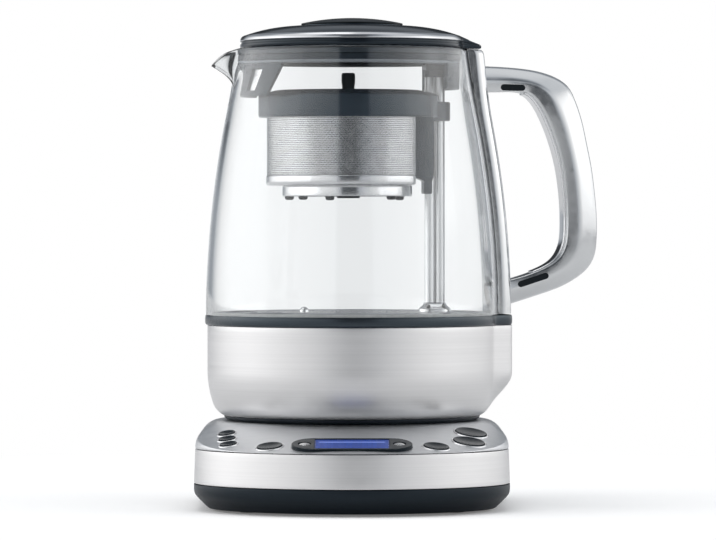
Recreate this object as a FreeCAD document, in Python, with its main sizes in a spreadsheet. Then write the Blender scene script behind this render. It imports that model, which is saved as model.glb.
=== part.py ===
"""Automatic tea maker: a power base, a glass jug and a tea basket that a motor lowers.

Millimetres, +Z up.  The origin is the jug's upright axis on the table, +Y points away
from the control panel.  Everything that points one way on the jug (handle, lift post,
spout) is drawn along +X and then turned by handle_azimuth.
"""
import FreeCAD, Part
import math
import os
import re
from dataclasses import dataclass

import Sketcher

V = FreeCAD.Vector
UP = V(0, 0, 1)
doc = FreeCAD.newDocument("TeaMaker")

# ---------------------------------------------------------------- driving dimensions
SIZES = {
    # the power base in plan
    "base_half_width": 83.4, "base_front": 127.4, "base_back": 86.0,
    "corner_round": 62.0, "front_round": 95.0,
    # heights of the base's layers
    "tray_bottom": 1.2, "tray_chamfer": 7.3, "seam_height": 14.1, "band_top": 32.4,
    "deck": 45.0, "band_inset": 0.7, "wall": 2.2, "floor_thickness": 2.8,
    "shoulder": 12.0, "panel_tilt": 12.0, "panel_crown": 447.0,
    # clearances by fit, and how far fused forms bite into each other
    "press_clearance": 0.02, "snug_clearance": 0.05, "free_clearance": 0.1,
    "loose_clearance": 0.3, "bite": 0.6,
    # what stands in the base
    "foot_radius": 7.0, "foot_height": 3.0, "foot_reach_x": 52.0,
    "foot_front": -78.0, "foot_rear": 52.0,
    "screw_radius": 1.5, "screw_head": 2.8, "screw_head_height": 1.6, "screw_sunk": 0.6,
    "screw_length": 9.0, "screw_offset": 14.0,
    "tray_boss": 4.5, "board_height": 20.0, "board_thickness": 1.6, "card_height": 11.0,
    "relay_margin": 6.0,
    "board_front": -112.0, "board_rear": -60.0, "board_half_width": 74.0,
    "power_board_front": 28.0, "power_board_rear": 66.0, "power_board_half": 40.0,
    "relay_length": 19.0, "relay_width": 15.0, "relay_height": 15.0,
    "buzzer_radius": 6.0, "buzzer_height": 6.5, "buzzer_x": -40.0, "buzzer_y": -66.0,
    "gland_radius": 6.0, "gland_bore": 3.5, "gland_height": 23.5, "gland_length": 16.0,
    "gland_x": 0.0, "gland_flange": 1.5, "gland_groove": 2.5,
    # display
    "lcd_y": -108.6, "bezel_half_width": 31.3, "bezel_half_depth": 11.6,
    "bezel_proud": 0.9, "bezel_thickness": 2.0, "lens_half_width": 19.3,
    "lens_half_depth": 9.4, "lens_proud": 0.7, "module_thickness": 4.0,
    # buttons
    "cap_proud": 1.0, "cap_dish": 0.9, "cap_dome": 0.9, "cap_depth": 2.6, "stem_radius": 1.5,
    "stem_depth": 7.5, "press_travel": 0.8, "button_gap": 0.25,
    "collar_width": 0.85, "collar_proud": 0.5, "collar_depth": 1.2, "switch_side": 5.0,
    # rotary connector between base and jug
    "plug_radius": 12.0, "plug_flange": 15.5, "plug_low": 30.0, "plug_high": 57.0,
    "contact_outer": 9.0, "contact_inner": 6.0, "contact_pin": 1.6, "contact_rise": 1.6,
    "contact_wall": 0.8,
    "socket_bore": 12.4, "socket_radius": 17.5, "socket_low": 48.0,
    "socket_ceiling": 59.2, "socket_high": 63.0, "socket_chamfer": 1.5,
    # the jug from the foot up
    "handle_azimuth": 8.0,
    "jug_foot_outer": 69.0, "jug_foot_inner": 60.0, "jug_foot_low": 45.2,
    "jug_foot_plate": 47.2, "jug_foot_chamfer": 1.6, "jug_foot_top": 49.6, "socket_window": 17.9,
    "shell_radius": 78.0, "shell_flank": 55.0, "shell_flank_angle": 19.0,
    "shell_heel": 11.0, "shell_heel_angle": 64.0, "shell_bulge": 72.0,
    "shell_top": 96.4, "shell_wall": 1.2,
    "collar_radius": 79.2, "collar_top": 101.8, "collar_inner": 72.5,
    "boot_radius": 86.4, "boot_half_angle": 19.0, "boot_low": 58.0, "boot_shoulder": 68.0,
    "boot_round": 6.0,
    "floor_low": 101.0, "floor_top": 103.2, "floor_radius": 75.0,
    # the glass
    "glass_radius": 78.8, "glass_wall": 3.0, "glass_low": 99.0, "glass_belly": 100.0,
    "glass_belly_arc": 560.0, "glass_waist": 205.0, "glass_rim": 245.0,
    "glass_rim_radius": 62.4, "glass_neck_arc": 500.0, "jug_screw_reach": 40.0,
    "spout_root": 228.0, "spout_root_radius": 3.0, "spout_root_reach": 62.3,
    "spout_tip_reach": 77.0, "spout_tip": 235.6, "spout_mouth_radius": 17.5,
    "spout_thinning": 0.7, "spout_brow_reach": 71.0, "spout_brow": 241.8, "wedge_reach": 40.0, "wedge_rise": 20.0,
    # the lift
    "drive_reach": 42.5, "guide_reach": 48.1, "tube_radius": 2.75, "drive_bore": 2.3,
    "tube_top": 229.5, "post_cap_top": 233.2, "post_cap_radius": 2.95,
    "post_foot_radius": 6.0, "post_foot_height": 5.0,
    "lead_radius": 1.0, "lead_low": 84.0, "lead_high": 226.0,
    "nut_radius": 2.2, "nut_bore": 1.06, "nut_length": 12.0, "nut_low": 186.0,
    "gear_radius": 6.85, "pinion_radius": 6.85, "gear_low": 87.0, "gear_width": 4.0,
    "gear_gap": 0.3, "motor_radius": 10.0, "motor_low": 60.0, "motor_high": 84.0,
    "motor_shaft": 1.15, "pinion_bore": 1.2,
    "element_reach": 62.0, "element_radius": 3.2, "element_height": 97.6,
    "probe_reach": -26.0, "probe_radius": 2.5, "probe_low": 92.0, "probe_top": 106.0,
    # handle
    "spine_half_angle": 11.5, "spine_low": 102.2, "spine_high": 244.6,
    "spine_gap": 0.3, "spine_skin": 7.2, "spine_top_skin": 8.6, "spine_waist_skin": 0.6, "spine_edge": 2.2,
    "handle_half_width": 11.0, "handle_edge": 4.5, "grip_heel_bend": 25.0,
    "grip_back_bend": 190.0, "grip_brow_bend": 22.5, "gap_heel_bend": 14.0,
    "gap_back_bend": 120.0, "gap_brow_bend": 7.0,
    "insert_thickness": 1.6, "insert_half_width": 6.2, "insert_low": 148.0,
    "insert_high": 208.0,
    # lid
    "lid_radius": 60.4, "lid_low": 245.1, "lid_edge": 251.2, "lid_crown": 257.2,
    "lid_flat": 28.4, "lid_dome": 86.0, "lid_wall": 1.9, "lid_tab_reach": 69.8,
    "lid_tab_half_angle": 13.0, "lid_tab_top": 251.0, "lid_tab_tip": 247.4,
    "knob_radius": 27.4, "knob_top": 261.7, "knob_edge": 0.5, "knob_rim": 258.8, "knob_dome": 126.3,
    "knob_flat": 4.0,
    "skirt_radius": 58.4, "skirt_wall": 2.2, "skirt_low": 237.6,
    "plate_radius": 58.0, "plate_inner": 48.6, "plate_low": 236.0,
    "seal_radius": 59.0, "seal_height": 2.4, "seal_low": 241.2,
    "filter_low": 218.6, "filter_radius": 58.0, "filter_thickness": 2.0,
    "filter_half_angle": 46.0, "window_half_angle": 30.0, "window_margin": 3.0,
    "filter_mesh": 0.6, "half_turn": 180.0, "guide_near": 56.0, "guide_far": 58.0, "guide_half_angle": 38.0,
    "guide_low": 222.6,
    # basket
    "basket_offset": -2.0, "ring_radius": 48.5, "ring_low": 207.4, "ring_high": 221.0,
    "ring_wall": 4.05, "ring_slope": 1.6, "cup_high": 218.4, "cup_radius": 44.4, "cup_wall": 0.8,
    "cup_low": 171.2, "cup_flat": 30.4, "base_disc_radius": 35.6, "base_disc_low": 165.4,
    "base_disc_wall": 2.0,
    "slot_clearance": 0.35, "sleeve_wall": 2.6, "sleeve_low": 206.0, "sleeve_high": 216.0,
    "leg_half_width": 6.6, "leg_inner": 31.2, "leg_outer": 44.1, "leg_low": 174.4, "leg_high": 216.0,
    "toe_inner": 38.6, "toe_outer": 43.2, "toe_low": 166.8,
    "magnet_half": 1.5, "magnet_skin": 0.7, "magnet_length": 12.0, "magnet_low": 186.0,
    "tea_lid_radius": 44.0, "tea_lid_low": 219.4, "tea_lid_thickness": 2.8, "tea_lid_slope": 1.4,
    "tea_lid_flat": 39.0,
    "tea_knob_radius": 3.7, "tea_knob_top": 231.5, "tea_knob_neck": 2.4,
    "tea_knob_head": 5.0, "tea_knob_cone": 1.0, "tea_knob_chamfer": 0.8,
}


@dataclass
class Button:
    """One push button: node name, place on the panel and cap radius."""

    name: str
    x: float
    y: float
    radius: float
    domed: bool = False


BUTTONS = [
    Button("clock_button", -65.8, -66.6, 4.4),
    Button("auto_start_button", -65.4, -77.9, 4.4),
    Button("keep_warm_button", -64.4, -89.2, 4.4),
    Button("tea_strength_button", -42.6, -104.0, 6.6),
    Button("tea_type_button", 43.6, -104.0, 6.6),
    Button("hot_water_button", 62.5, -67.4, 8.3),
    Button("tea_start_button", 61.0, -86.6, 8.3),
    Button("minus_button", -24.6, -108.6, 3.2, domed=True),
    Button("plus_button", 24.6, -108.6, 3.2, domed=True),
]
# corners of the handle's side view, as reach from the jug's axis and height
GRIP = {
    "root_low": (80.2, 104.2), "heel_start": (118.0, 118.7), "heel_end": (134.0, 142.0),
    "back_low": (134.0, 146.0), "back_high": (120.5, 219.0), "brow": (101.7, 232.8),
    "root_high": (70.5, 235.6),
}
FINGER_GAP = {
    "gap_root_low": (76.0, 118.4), "gap_heel_start": (101.5, 125.8),
    "gap_heel_end": (111.8, 139.4), "gap_back_low": (112.2, 158.0),
    "gap_back_high": (96.0, 218.2), "gap_brow": (89.9, 221.8), "gap_root_high": (66.0, 221.8),
}
for corner_name, (corner_reach, corner_height) in {**GRIP, **FINGER_GAP}.items():
    SIZES[corner_name + "_r"] = corner_reach
    SIZES[corner_name + "_z"] = corner_height
for push in BUTTONS:
    SIZES[push.name + "_x"] = push.x
    SIZES[push.name + "_y"] = push.y
    SIZES[push.name + "_radius"] = push.radius


def fill_sheet():
    """Write every driving dimension into the sheet, one aliased cell each."""
    sheet = doc.addObject("Spreadsheet::Sheet", "Sizes")
    for row, (alias, number) in enumerate(SIZES.items(), start=1):
        sheet.set(f"A{row}", alias)
        sheet.set(f"B{row}", str(number))
        sheet.setAlias(f"B{row}", alias)
    doc.recompute()
    return sheet


SHEET = fill_sheet()
WORD = re.compile(r"[a-z_]{3,}")


# ---------------------------------------------------------------- helpers
def formula(text):
    """Turn a formula in plain aliases into an expression on the sheet."""
    return WORD.sub(lambda m: "Sizes." + m[0] if m[0] in SIZES else m[0], str(text))


def value(text):
    """The number that a formula in aliases gives."""
    return float(SHEET.evalExpression(formula(text)))


def tie(item, **bindings):
    """Bind properties of an object to formulas; a double underscore stands for a dot."""
    for key, text in bindings.items():
        item.setExpression(key.replace("__", "."), formula(text))
    return item


NODES = []


def named(item, label):
    """Give a finished sub-part its node name and enter it in the list of nodes."""
    item.Label = label
    NODES.append(item)
    return item


def origin_plane(body, role):
    """The body's own origin plane with the given role."""
    return next(f for f in body.Origin.OriginFeatures if f.Role == role)


def blank_sketch(body, name, role="XY_Plane", height="0"):
    """An empty sketch on one of the body's planes, lifted along the plane's normal."""
    sketch = body.newObject("Sketcher::SketchObject", name)
    sketch.AttachmentSupport = (origin_plane(body, role), [""])
    sketch.MapMode = "FlatFace"
    sketch.setExpression(".AttachmentOffset.Base.z", formula(height))
    return sketch


@dataclass
class Corner:
    """A corner of an outline; bend is the radius of the arc that leads to the next one.

    left tells whether that arc's centre lies left of the way to the next corner.
    """

    x: str
    y: str
    bend: str = ""
    left: bool = True


def arc_between(start, end, radius, left):
    """The short arc from start to end whose centre lies on the given side."""
    chord = end - start
    sagitta = math.sqrt(max(radius ** 2 - (chord.Length / 2) ** 2, 0.0))
    side = V(-chord.y, chord.x, 0).normalize() * (sagitta if left else -sagitta)
    centre = (start + end) / 2 + side
    first, last = (start, end) if left else (end, start)
    angles = [math.atan2(p.y - centre.y, p.x - centre.x) for p in (first, last)]
    return Part.ArcOfCircle(Part.Circle(centre, UP, radius), *angles)


def draw(sketch, corners):
    """Draw a closed outline whose corners and bends are bound to the sheet."""
    points = [V(value(c.x), value(c.y), 0) for c in corners]
    ends = []
    for i, corner in enumerate(corners):
        here, there = points[i], points[(i + 1) % len(points)]
        if corner.bend:
            arc = arc_between(here, there, value(corner.bend), corner.left)
            sketch.addGeometry(arc, False)
            ends.append((1, 2) if corner.left else (2, 1))
        else:
            sketch.addGeometry(Part.LineSegment(here, there), False)
            ends.append((1, 2))
    for i in range(len(corners)):
        after = (i + 1) % len(corners)
        sketch.addConstraint(
            Sketcher.Constraint("Coincident", i, ends[i][1], after, ends[after][0])
        )
    for i, (corner, point) in enumerate(zip(corners, points)):
        for kind, text, number in (("DistanceX", corner.x, point.x), ("DistanceY", corner.y, point.y)):
            rule = Sketcher.Constraint(kind, -1, 1, i, ends[i][0], number)
            index = sketch.addConstraint(rule)
            sketch.setExpression(f"Constraints[{index}]", formula(text))
        if corner.bend:
            rule = Sketcher.Constraint("Radius", i, value(corner.bend))
            index = sketch.addConstraint(rule)
            sketch.setExpression(f"Constraints[{index}]", formula(corner.bend))
    return sketch


def turned(name, corners, half_angle=None):
    """A body of revolution about Z from an outline in radius and height."""
    body = doc.addObject("PartDesign::Body", name)
    sketch = draw(blank_sketch(body, name + "_outline", "XZ_Plane"), corners)
    turn = body.newObject("PartDesign::Revolution", name + "_turn")
    turn.Profile = sketch
    turn.ReferenceAxis = (sketch, ["V_Axis"])
    turn.Angle = 360
    if half_angle:
        turn.Midplane = True
        tie(turn, Angle=f"2 * {half_angle}")
    return body


def ring(name, inner, outer, low, high):
    """A plain turned ring."""
    corners = [Corner(inner, low), Corner(outer, low), Corner(outer, high), Corner(inner, high)]
    return turned(name, corners)


def rod(name, radius, low, high):
    """An upright cylinder on the Z axis."""
    item = doc.addObject("Part::Cylinder", name)
    return tie(item, Radius=radius, Height=f"({high}) - ({low})", Placement__Base__z=low)


def plug(name, radius, low, high):
    """A solid round plug about Z that can be placed freely."""
    return turned(name, [Corner("0", low), Corner(radius, low), Corner(radius, high), Corner("0", high)])


def plate(name, half_width, half_depth, low, high):
    """A rectangular plate centred on Z that can be placed freely."""
    body = doc.addObject("PartDesign::Body", name)
    corners = [
        Corner(f"-({half_width})", f"-({half_depth})"),
        Corner(half_width, f"-({half_depth})"),
        Corner(half_width, half_depth),
        Corner(f"-({half_width})", half_depth),
    ]
    sketch = draw(blank_sketch(body, name + "_plan", "XY_Plane", low), corners)
    pad(body, name + "_pad", sketch, f"({high}) - ({low})")
    return body


def block(name, x_range, y_range, z_range):
    """A box from low to high along each axis."""
    item = doc.addObject("Part::Box", name)
    for side, axis, (low, high) in zip(
        ("Length", "Width", "Height"), "xyz", (x_range, y_range, z_range)
    ):
        item.setExpression(side, formula(f"({high}) - ({low})"))
        item.setExpression("Placement.Base." + axis, formula(low))
    return item


def fuse(name, *items):
    """One solid, or one group of solids, out of several objects."""
    joined = doc.addObject("Part::MultiFuse", name)
    joined.Shapes = list(items)
    return joined


def common(name, *items):
    """What several objects share."""
    shared = doc.addObject("Part::MultiCommon", name)
    shared.Shapes = list(items)
    return shared


def cut(name, base, *tools):
    """Take the tools out of the base."""
    tool = tools[0] if len(tools) == 1 else fuse(name + "_tools", *tools)
    rest = doc.addObject("Part::Cut", name)
    rest.Base = base
    rest.Tool = tool
    return rest


def edges(feature, wanted):
    """Names of the feature's edges for which wanted(edge) holds."""
    doc.recompute()
    return [f"Edge{i}" for i, edge in enumerate(feature.Shape.Edges, start=1) if wanted(edge)]


def rounded(body, name, radius, wanted):
    """Round the edges of the body's last feature that wanted(edge) picks."""
    base = body.Tip
    names = edges(base, wanted)
    fillet = body.newObject("PartDesign::Fillet", name)
    fillet.Base = (base, names)
    tie(fillet, Radius=radius)
    return fillet


def pad(body, name, sketch, length, centred=False):
    """Pad a sketch by a length, to one side or to both."""
    feature = body.newObject("PartDesign::Pad", name)
    feature.Profile = sketch
    if centred:
        feature.SideType = "Symmetric"
    return tie(feature, Length=length)


def pocket(body, name, sketch, length, reverse=False):
    """Cut a sketch into the body by a length."""
    feature = body.newObject("PartDesign::Pocket", name)
    feature.Profile = sketch
    feature.Reversed = reverse
    return tie(feature, Length=length)


def aim(item, reach="0", side="0", height="0"):
    """Turn an item drawn along +X to the handle's azimuth, moved out by reach."""
    item.Placement = FreeCAD.Placement(V(), FreeCAD.Rotation(UP, value("handle_azimuth")))
    cosine, sine = "cos(handle_azimuth)", "sin(handle_azimuth)"
    return tie(
        item,
        Placement__Rotation__Angle="handle_azimuth",
        Placement__Base__x=f"({reach}) * {cosine} - ({side}) * {sine}",
        Placement__Base__y=f"({reach}) * {sine} + ({side}) * {cosine}",
        Placement__Base__z=height,
    )


# ---------------------------------------------------------------- plan outline of the base
def base_plan(inset):
    """The base's plan outline, moved inwards by inset: arcs tangent to each other."""
    across = "(base_half_width - corner_round)"
    step = "(front_round - corner_round)"
    along = f"sqrt({step}^2 - {across}^2)"
    front_centre = "(front_round - base_front)"
    rear_centre = "(base_back - front_round)"
    arc = f"(front_round - ({inset}))"
    corner_arc = f"corner_round - ({inset})"
    side = f"base_half_width - ({inset})"
    join_x = f"{across} / {step} * {arc}"
    join_front = f"{front_centre} - {along} / {step} * {arc}"
    join_rear = f"{rear_centre} + {along} / {step} * {arc}"
    flank_front = f"{front_centre} - {along}"
    flank_rear = f"{rear_centre} + {along}"
    return [
        Corner(join_x, join_front, corner_arc),
        Corner(side, flank_front),
        Corner(side, flank_rear, corner_arc),
        Corner(join_x, join_rear, arc),
        Corner(f"-({join_x})", join_rear, corner_arc),
        Corner(f"-({side})", flank_rear),
        Corner(f"-({side})", flank_front, corner_arc),
        Corner(f"-({join_x})", join_front, arc),
    ]


def plan_sketch(body, name, inset, height):
    """The plan outline as a sketch at a height."""
    return draw(blank_sketch(body, name, "XY_Plane", height), base_plan(inset))


def drafted(body, name, low_inset, low, high_inset, high):
    """A slab of the base whose wall leans from one inset to another."""
    loft = body.newObject("PartDesign::AdditiveLoft", name)
    loft.Profile = plan_sketch(body, name + "_low", low_inset, low)
    loft.Sections = [plan_sketch(body, name + "_high", high_inset, high)]
    loft.Ruled = True
    return loft


# ---------------------------------------------------------------- control panel
def panel_point(x, y):
    """Formula for the panel's height over a point: tilted, and crowned across."""
    drop = f"(panel_crown - sqrt(panel_crown^2 - ({x})^2)) / cos(panel_tilt)"
    return f"band_top + (({y}) + base_front) * tan(panel_tilt) - {drop}"


def panel_normal(x):
    """The panel's outward normal over x."""
    tilt = math.radians(value("panel_tilt"))
    crown = value("panel_crown")
    across = value(x) / (math.cos(tilt) * math.sqrt(crown ** 2 - value(x) ** 2))
    return V(across, -math.tan(tilt), 1).normalize()


def on_panel(item, x, y):
    """Stand an item drawn about Z on the panel, square to its surface."""
    item.Placement = FreeCAD.Placement(V(), FreeCAD.Rotation(UP, panel_normal(x)))
    return tie(
        item,
        Placement__Base__x=x,
        Placement__Base__y=y,
        Placement__Base__z=panel_point(x, y),
    )


def panel_roof(name, drop):
    """A long cylinder whose top is the panel's surface, lowered by drop."""
    item = doc.addObject("Part::Cylinder", name)
    reach = value("base_front") * 3
    item.Height = reach
    tilt = value("panel_tilt")
    item.Placement = FreeCAD.Placement(V(), FreeCAD.Rotation(V(1, 0, 0), tilt - 90))
    start = "(base_front * 0.5)"
    depth = "panel_crown"
    return tie(
        item,
        Radius=f"panel_crown - ({drop})",
        Placement__Base__y=f"-base_front - {start} * cos(panel_tilt) + {depth} * sin(panel_tilt)",
        Placement__Base__z=f"band_top - {start} * sin(panel_tilt) - {depth} * cos(panel_tilt)",
    )


def pillow(name, inset, low, high, edge, drop):
    """The cover's solid form: a slab with a rounded top edge under the panel surface."""
    body = doc.addObject("PartDesign::Body", name + "_slab")
    pad(body, name + "_pad", plan_sketch(body, name + "_plan", inset, low), f"({high}) - ({low})")
    top = value(high)
    rounded(body, name + "_edge", edge, lambda e: e.BoundBox.ZMin > top - 0.01)
    return common(name, body, panel_roof(name + "_roof", drop))


# ---------------------------------------------------------------- base
def make_base_tray():
    """Black floor tray: chamfered underside, hollow, with bosses for the screws."""
    body = doc.addObject("PartDesign::Body", "base_tray_form")
    drafted(body, "tray_chamfered", "tray_chamfer", "tray_bottom", "0", "tray_bottom + tray_chamfer")
    low = "tray_bottom + tray_chamfer"
    pad(body, "tray_wall", plan_sketch(body, "tray_wall_plan", "0", low), f"seam_height - ({low})")
    hollow = plan_sketch(body, "tray_hollow_plan", "tray_chamfer + 1", "seam_height")
    pocket(body, "tray_hollow", hollow, "seam_height - tray_bottom - floor_thickness")
    bosses = []
    recesses = [rod("middle_foot_seat", "foot_radius", "0", "foot_height")]
    for x, y in foot_places():
        boss = rod("tray_boss", "tray_boss", "tray_bottom + floor_thickness - 0.5", "seam_height")
        bosses.append(tie(boss, Placement__Base__x=x, Placement__Base__y=screw_y(y)))
        hole = rod("tray_screw_hole", "screw_radius + free_clearance", "0", "seam_height + 1")
        recesses.append(tie(hole, Placement__Base__x=x, Placement__Base__y=screw_y(y)))
        head = rod("tray_screw_recess", "screw_head + 2 * free_clearance", "0",
                      "tray_bottom + screw_sunk + screw_head_height")
        recesses.append(tie(head, Placement__Base__x=x, Placement__Base__y=screw_y(y)))
        seat = rod("tray_foot_seat", "foot_radius", "0", "foot_height")
        recesses.append(tie(seat, Placement__Base__x=x, Placement__Base__y=y))
    whole = fuse("tray_with_bosses", body, *bosses)
    named(cut("tray", whole, *recesses), "base_tray")


def foot_places():
    """Plan places of the four outer feet; a screw stands next to each."""
    return [
        (x, y)
        for x in ("-foot_reach_x", "foot_reach_x")
        for y in ("foot_front", "foot_rear")
    ]


def screw_y(foot_y):
    """The screw beside a foot stands nearer the middle of the base."""
    return f"{foot_y} + screw_offset" if foot_y == "foot_front" else f"{foot_y} - screw_offset"


def make_feet_and_screws():
    """Five rubber feet and the four screws that hold the tray to the cover."""
    feet = []
    screws = []
    for x, y in foot_places():
        foot = rod("foot", "foot_radius", "0", "foot_height")
        feet.append(tie(foot, Placement__Base__x=x, Placement__Base__y=y))
        seat = "tray_bottom + screw_sunk + screw_head_height"
        head = rod("screw_top", "screw_head", "tray_bottom + screw_sunk", seat)
        shank = rod("screw_shank", "screw_radius", "tray_bottom + 2", "tray_bottom + screw_length")
        for item in (head, shank):
            tie(item, Placement__Base__x=x, Placement__Base__y=screw_y(y))
        screws.append(fuse("tray_screw", head, shank))
    feet.append(rod("middle_foot", "foot_radius", "0", "foot_height"))
    named(fuse("feet", *feet), "rubber_feet")
    named(fuse("screws", *screws), "tray_screws")


def make_base_band():
    """Steel band round the base, leaning in slightly towards the top."""
    body = doc.addObject("PartDesign::Body", "band_form")
    drafted(body, "band_wall", "0", "seam_height", "band_inset", "band_top")
    bore = plan_sketch(body, "band_bore_plan", "band_inset + wall", "band_top")
    pocket(body, "band_bore", bore, "band_top - seam_height")
    entry = rod("gland_entry", "gland_radius + snug_clearance", "0", "2 * gland_length")
    entry.Placement = FreeCAD.Placement(V(), FreeCAD.Rotation(V(1, 0, 0), -90))
    tie(
        entry,
        Placement__Base__x="gland_x",
        Placement__Base__y="base_back - 2 * gland_length",
        Placement__Base__z="gland_height",
    )
    named(cut("band", body, entry), "base_band")


def make_base_cover():
    """Steel top cover: flat deck at the back, tilted and crowned panel at the front."""
    outer = pillow("cover_outside", "band_inset", "band_top", "deck", "shoulder", "0")
    inner = pillow(
        "cover_inside", "band_inset + wall", "band_top - 1", "deck - wall", "shoulder - wall", "wall"
    )
    holes = [rod("plug_hole", "plug_radius + free_clearance", "deck - 2 * wall", "deck + 1")]
    for push in BUTTONS:
        room = "button_gap" if push.domed else "button_gap + collar_width"
        hole = plug(push.name + "_hole", f"{push.name}_radius + {room}", "-3 * wall", "wall")
        holes.append(on_panel(hole, push.name + "_x", push.name + "_y"))
    window = plate("display_window", "lens_half_width + loose_clearance",
                   "lens_half_depth + loose_clearance",
                   "-3 * wall", "2 * wall")
    seat = stadium("bezel_seat", "bezel_half_width + free_clearance",
                   "bezel_half_depth + free_clearance",
                   "bezel_proud - bezel_thickness", "2 * wall")
    holes += [on_panel(window, "0", "lcd_y"), on_panel(seat, "0", "lcd_y")]
    named(cut("cover", outer, inner, *holes), "base_cover")


def stadium(name, half_width, half_depth, low, high):
    """A flat plate with straight long sides and round ends."""
    body = doc.addObject("PartDesign::Body", name)
    straight = f"(({half_width}) - ({half_depth}))"
    corners = [
        Corner(straight, f"-({half_depth})", half_depth),
        Corner(half_width, "0", half_depth),
        Corner(straight, half_depth),
        Corner(f"-{straight}", half_depth, half_depth),
        Corner(f"-({half_width})", "0", half_depth),
        Corner(f"-{straight}", f"-({half_depth})"),
    ]
    pad(body, name + "_pad", draw(blank_sketch(body, name + "_plan", "XY_Plane", low), corners),
        f"({high}) - ({low})")
    return body


def make_display():
    """Bezel, tinted lens and display module, set into the panel."""
    frame = stadium("bezel_plate", "bezel_half_width", "bezel_half_depth",
                    "bezel_proud - bezel_thickness", "bezel_proud")
    holes = [plate("bezel_window", "lens_half_width + snug_clearance",
                   "lens_half_depth + snug_clearance", "-wall", "wall")]
    for push in BUTTONS:
        if push.domed:
            hole = rod(push.name + "_bezel_hole", f"{push.name}_radius + button_gap", "-wall", "wall")
            holes.append(tie(hole, Placement__Base__x=push.name + "_x"))
    named(on_panel(cut("bezel", frame, *holes), "0", "lcd_y"), "display_bezel")
    lens = plate("lens", "lens_half_width", "lens_half_depth", "-wall", "lens_proud")
    named(on_panel(lens, "0", "lcd_y"), "display_lens")
    module = plate("module", "lens_half_width - loose_clearance", "lens_half_depth",
                   "-wall - module_thickness", "-wall")
    named(on_panel(module, "0", "lcd_y"), "display_module")


def make_button(push):
    """A push button: dished or domed cap on a stem."""
    radius = push.name + "_radius"
    crown = "cap_proud + cap_dome" if push.domed else "cap_proud - cap_dish"
    rise = "cap_dome" if push.domed else "cap_dish"
    bend = f"({radius}^2 + {rise}^2) / (2 * {rise})"
    corners = [
        Corner("0", "-stem_depth"),
        Corner("stem_radius", "-stem_depth"),
        Corner("stem_radius", "-cap_depth"),
        Corner(radius, "-cap_depth"),
        Corner(radius, "cap_proud", bend, left=push.domed),
        Corner("0", crown),
    ]
    body = turned(push.name + "_form", corners)
    named(on_panel(body, push.name + "_x", push.name + "_y"), push.name)


def make_button_collars():
    """Bright collars round the dished buttons, pressed into the cover."""
    collars = []
    for push in BUTTONS:
        if push.domed:
            continue
        inner = f"{push.name}_radius + button_gap"
        outer = f"{push.name}_radius + button_gap + collar_width"
        item = ring(push.name + "_collar", inner, outer, "-collar_depth", "collar_proud")
        collars.append(on_panel(item, push.name + "_x", push.name + "_y"))
    named(fuse("collars", *collars), "button_collars")


def make_electronics():
    """Control board with its switches, power board with relay, and a buzzer."""
    slab = doc.addObject("PartDesign::Body", "board_slab")
    pad(slab, "board_pad", plan_sketch(slab, "board_plan", "band_inset + 3 * wall", "board_height"),
        "board_thickness")
    area = block(
        "board_area",
        ("-board_half_width", "board_half_width"),
        ("board_front", "board_rear"),
        ("board_height - 1", "board_height + 4"),
    )
    named(common("board", slab, area), "control_board")
    top = "board_height + board_thickness"
    switches = []
    for push in BUTTONS:
        normal = panel_normal(push.name + "_x")
        drop = value("stem_depth")
        x = f"{push.name}_x - {normal.x * drop}"
        y = f"{push.name}_y - {normal.y * drop}"
        foot = f"{panel_point(push.name + '_x', push.name + '_y')} - {normal.z * drop}"
        half = "switch_side / 2"
        switches.append(
            block(
                push.name + "_switch",
                (f"{x} - {half}", f"{x} + {half}"),
                (f"{y} - {half}", f"{y} + {half}"),
                (top, f"{foot} - press_travel - 2 * button_gap"),
            )
        )
    named(fuse("switches", *switches), "tact_switches")
    card = block(
        "power_card",
        ("-power_board_half", "power_board_half / 3"),
        ("power_board_front", "power_board_rear"),
        ("card_height", "card_height + board_thickness"),
    )
    relay = block(
        "relay",
        ("-power_board_half + relay_margin", "-power_board_half + relay_margin + relay_length"),
        ("power_board_front + relay_margin", "power_board_front + relay_margin + relay_width"),
        ("card_height + board_thickness", "card_height + board_thickness + relay_height"),
    )
    named(fuse("power", card, relay), "power_board")
    buzzer = rod("buzzer_can", "buzzer_radius", top, f"{top} + buzzer_height")
    named(tie(buzzer, Placement__Base__x="buzzer_x", Placement__Base__y="buzzer_y"), "buzzer")


def make_cord_gland():
    """Rubber inlet for the mains cord in the rear wall of the band."""
    corners = [
        Corner("gland_bore", "-gland_length"),
        Corner("gland_radius + gland_flange", "-gland_length"),
        Corner("gland_radius + gland_flange", "-wall - gland_groove"),
        Corner("gland_radius", "-wall - gland_groove"),
        Corner("gland_radius", "1"),
        Corner("gland_bore", "1"),
    ]
    body = turned("gland_form", corners)
    body.Placement = FreeCAD.Placement(V(), FreeCAD.Rotation(V(1, 0, 0), -90))
    rear = "base_back - front_round + sqrt((front_round - band_inset / 2)^2 - gland_x^2)"
    tie(
        body,
        Placement__Base__x="gland_x",
        Placement__Base__y=rear,
        Placement__Base__z="gland_height",
    )
    named(body, "cord_gland")


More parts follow.
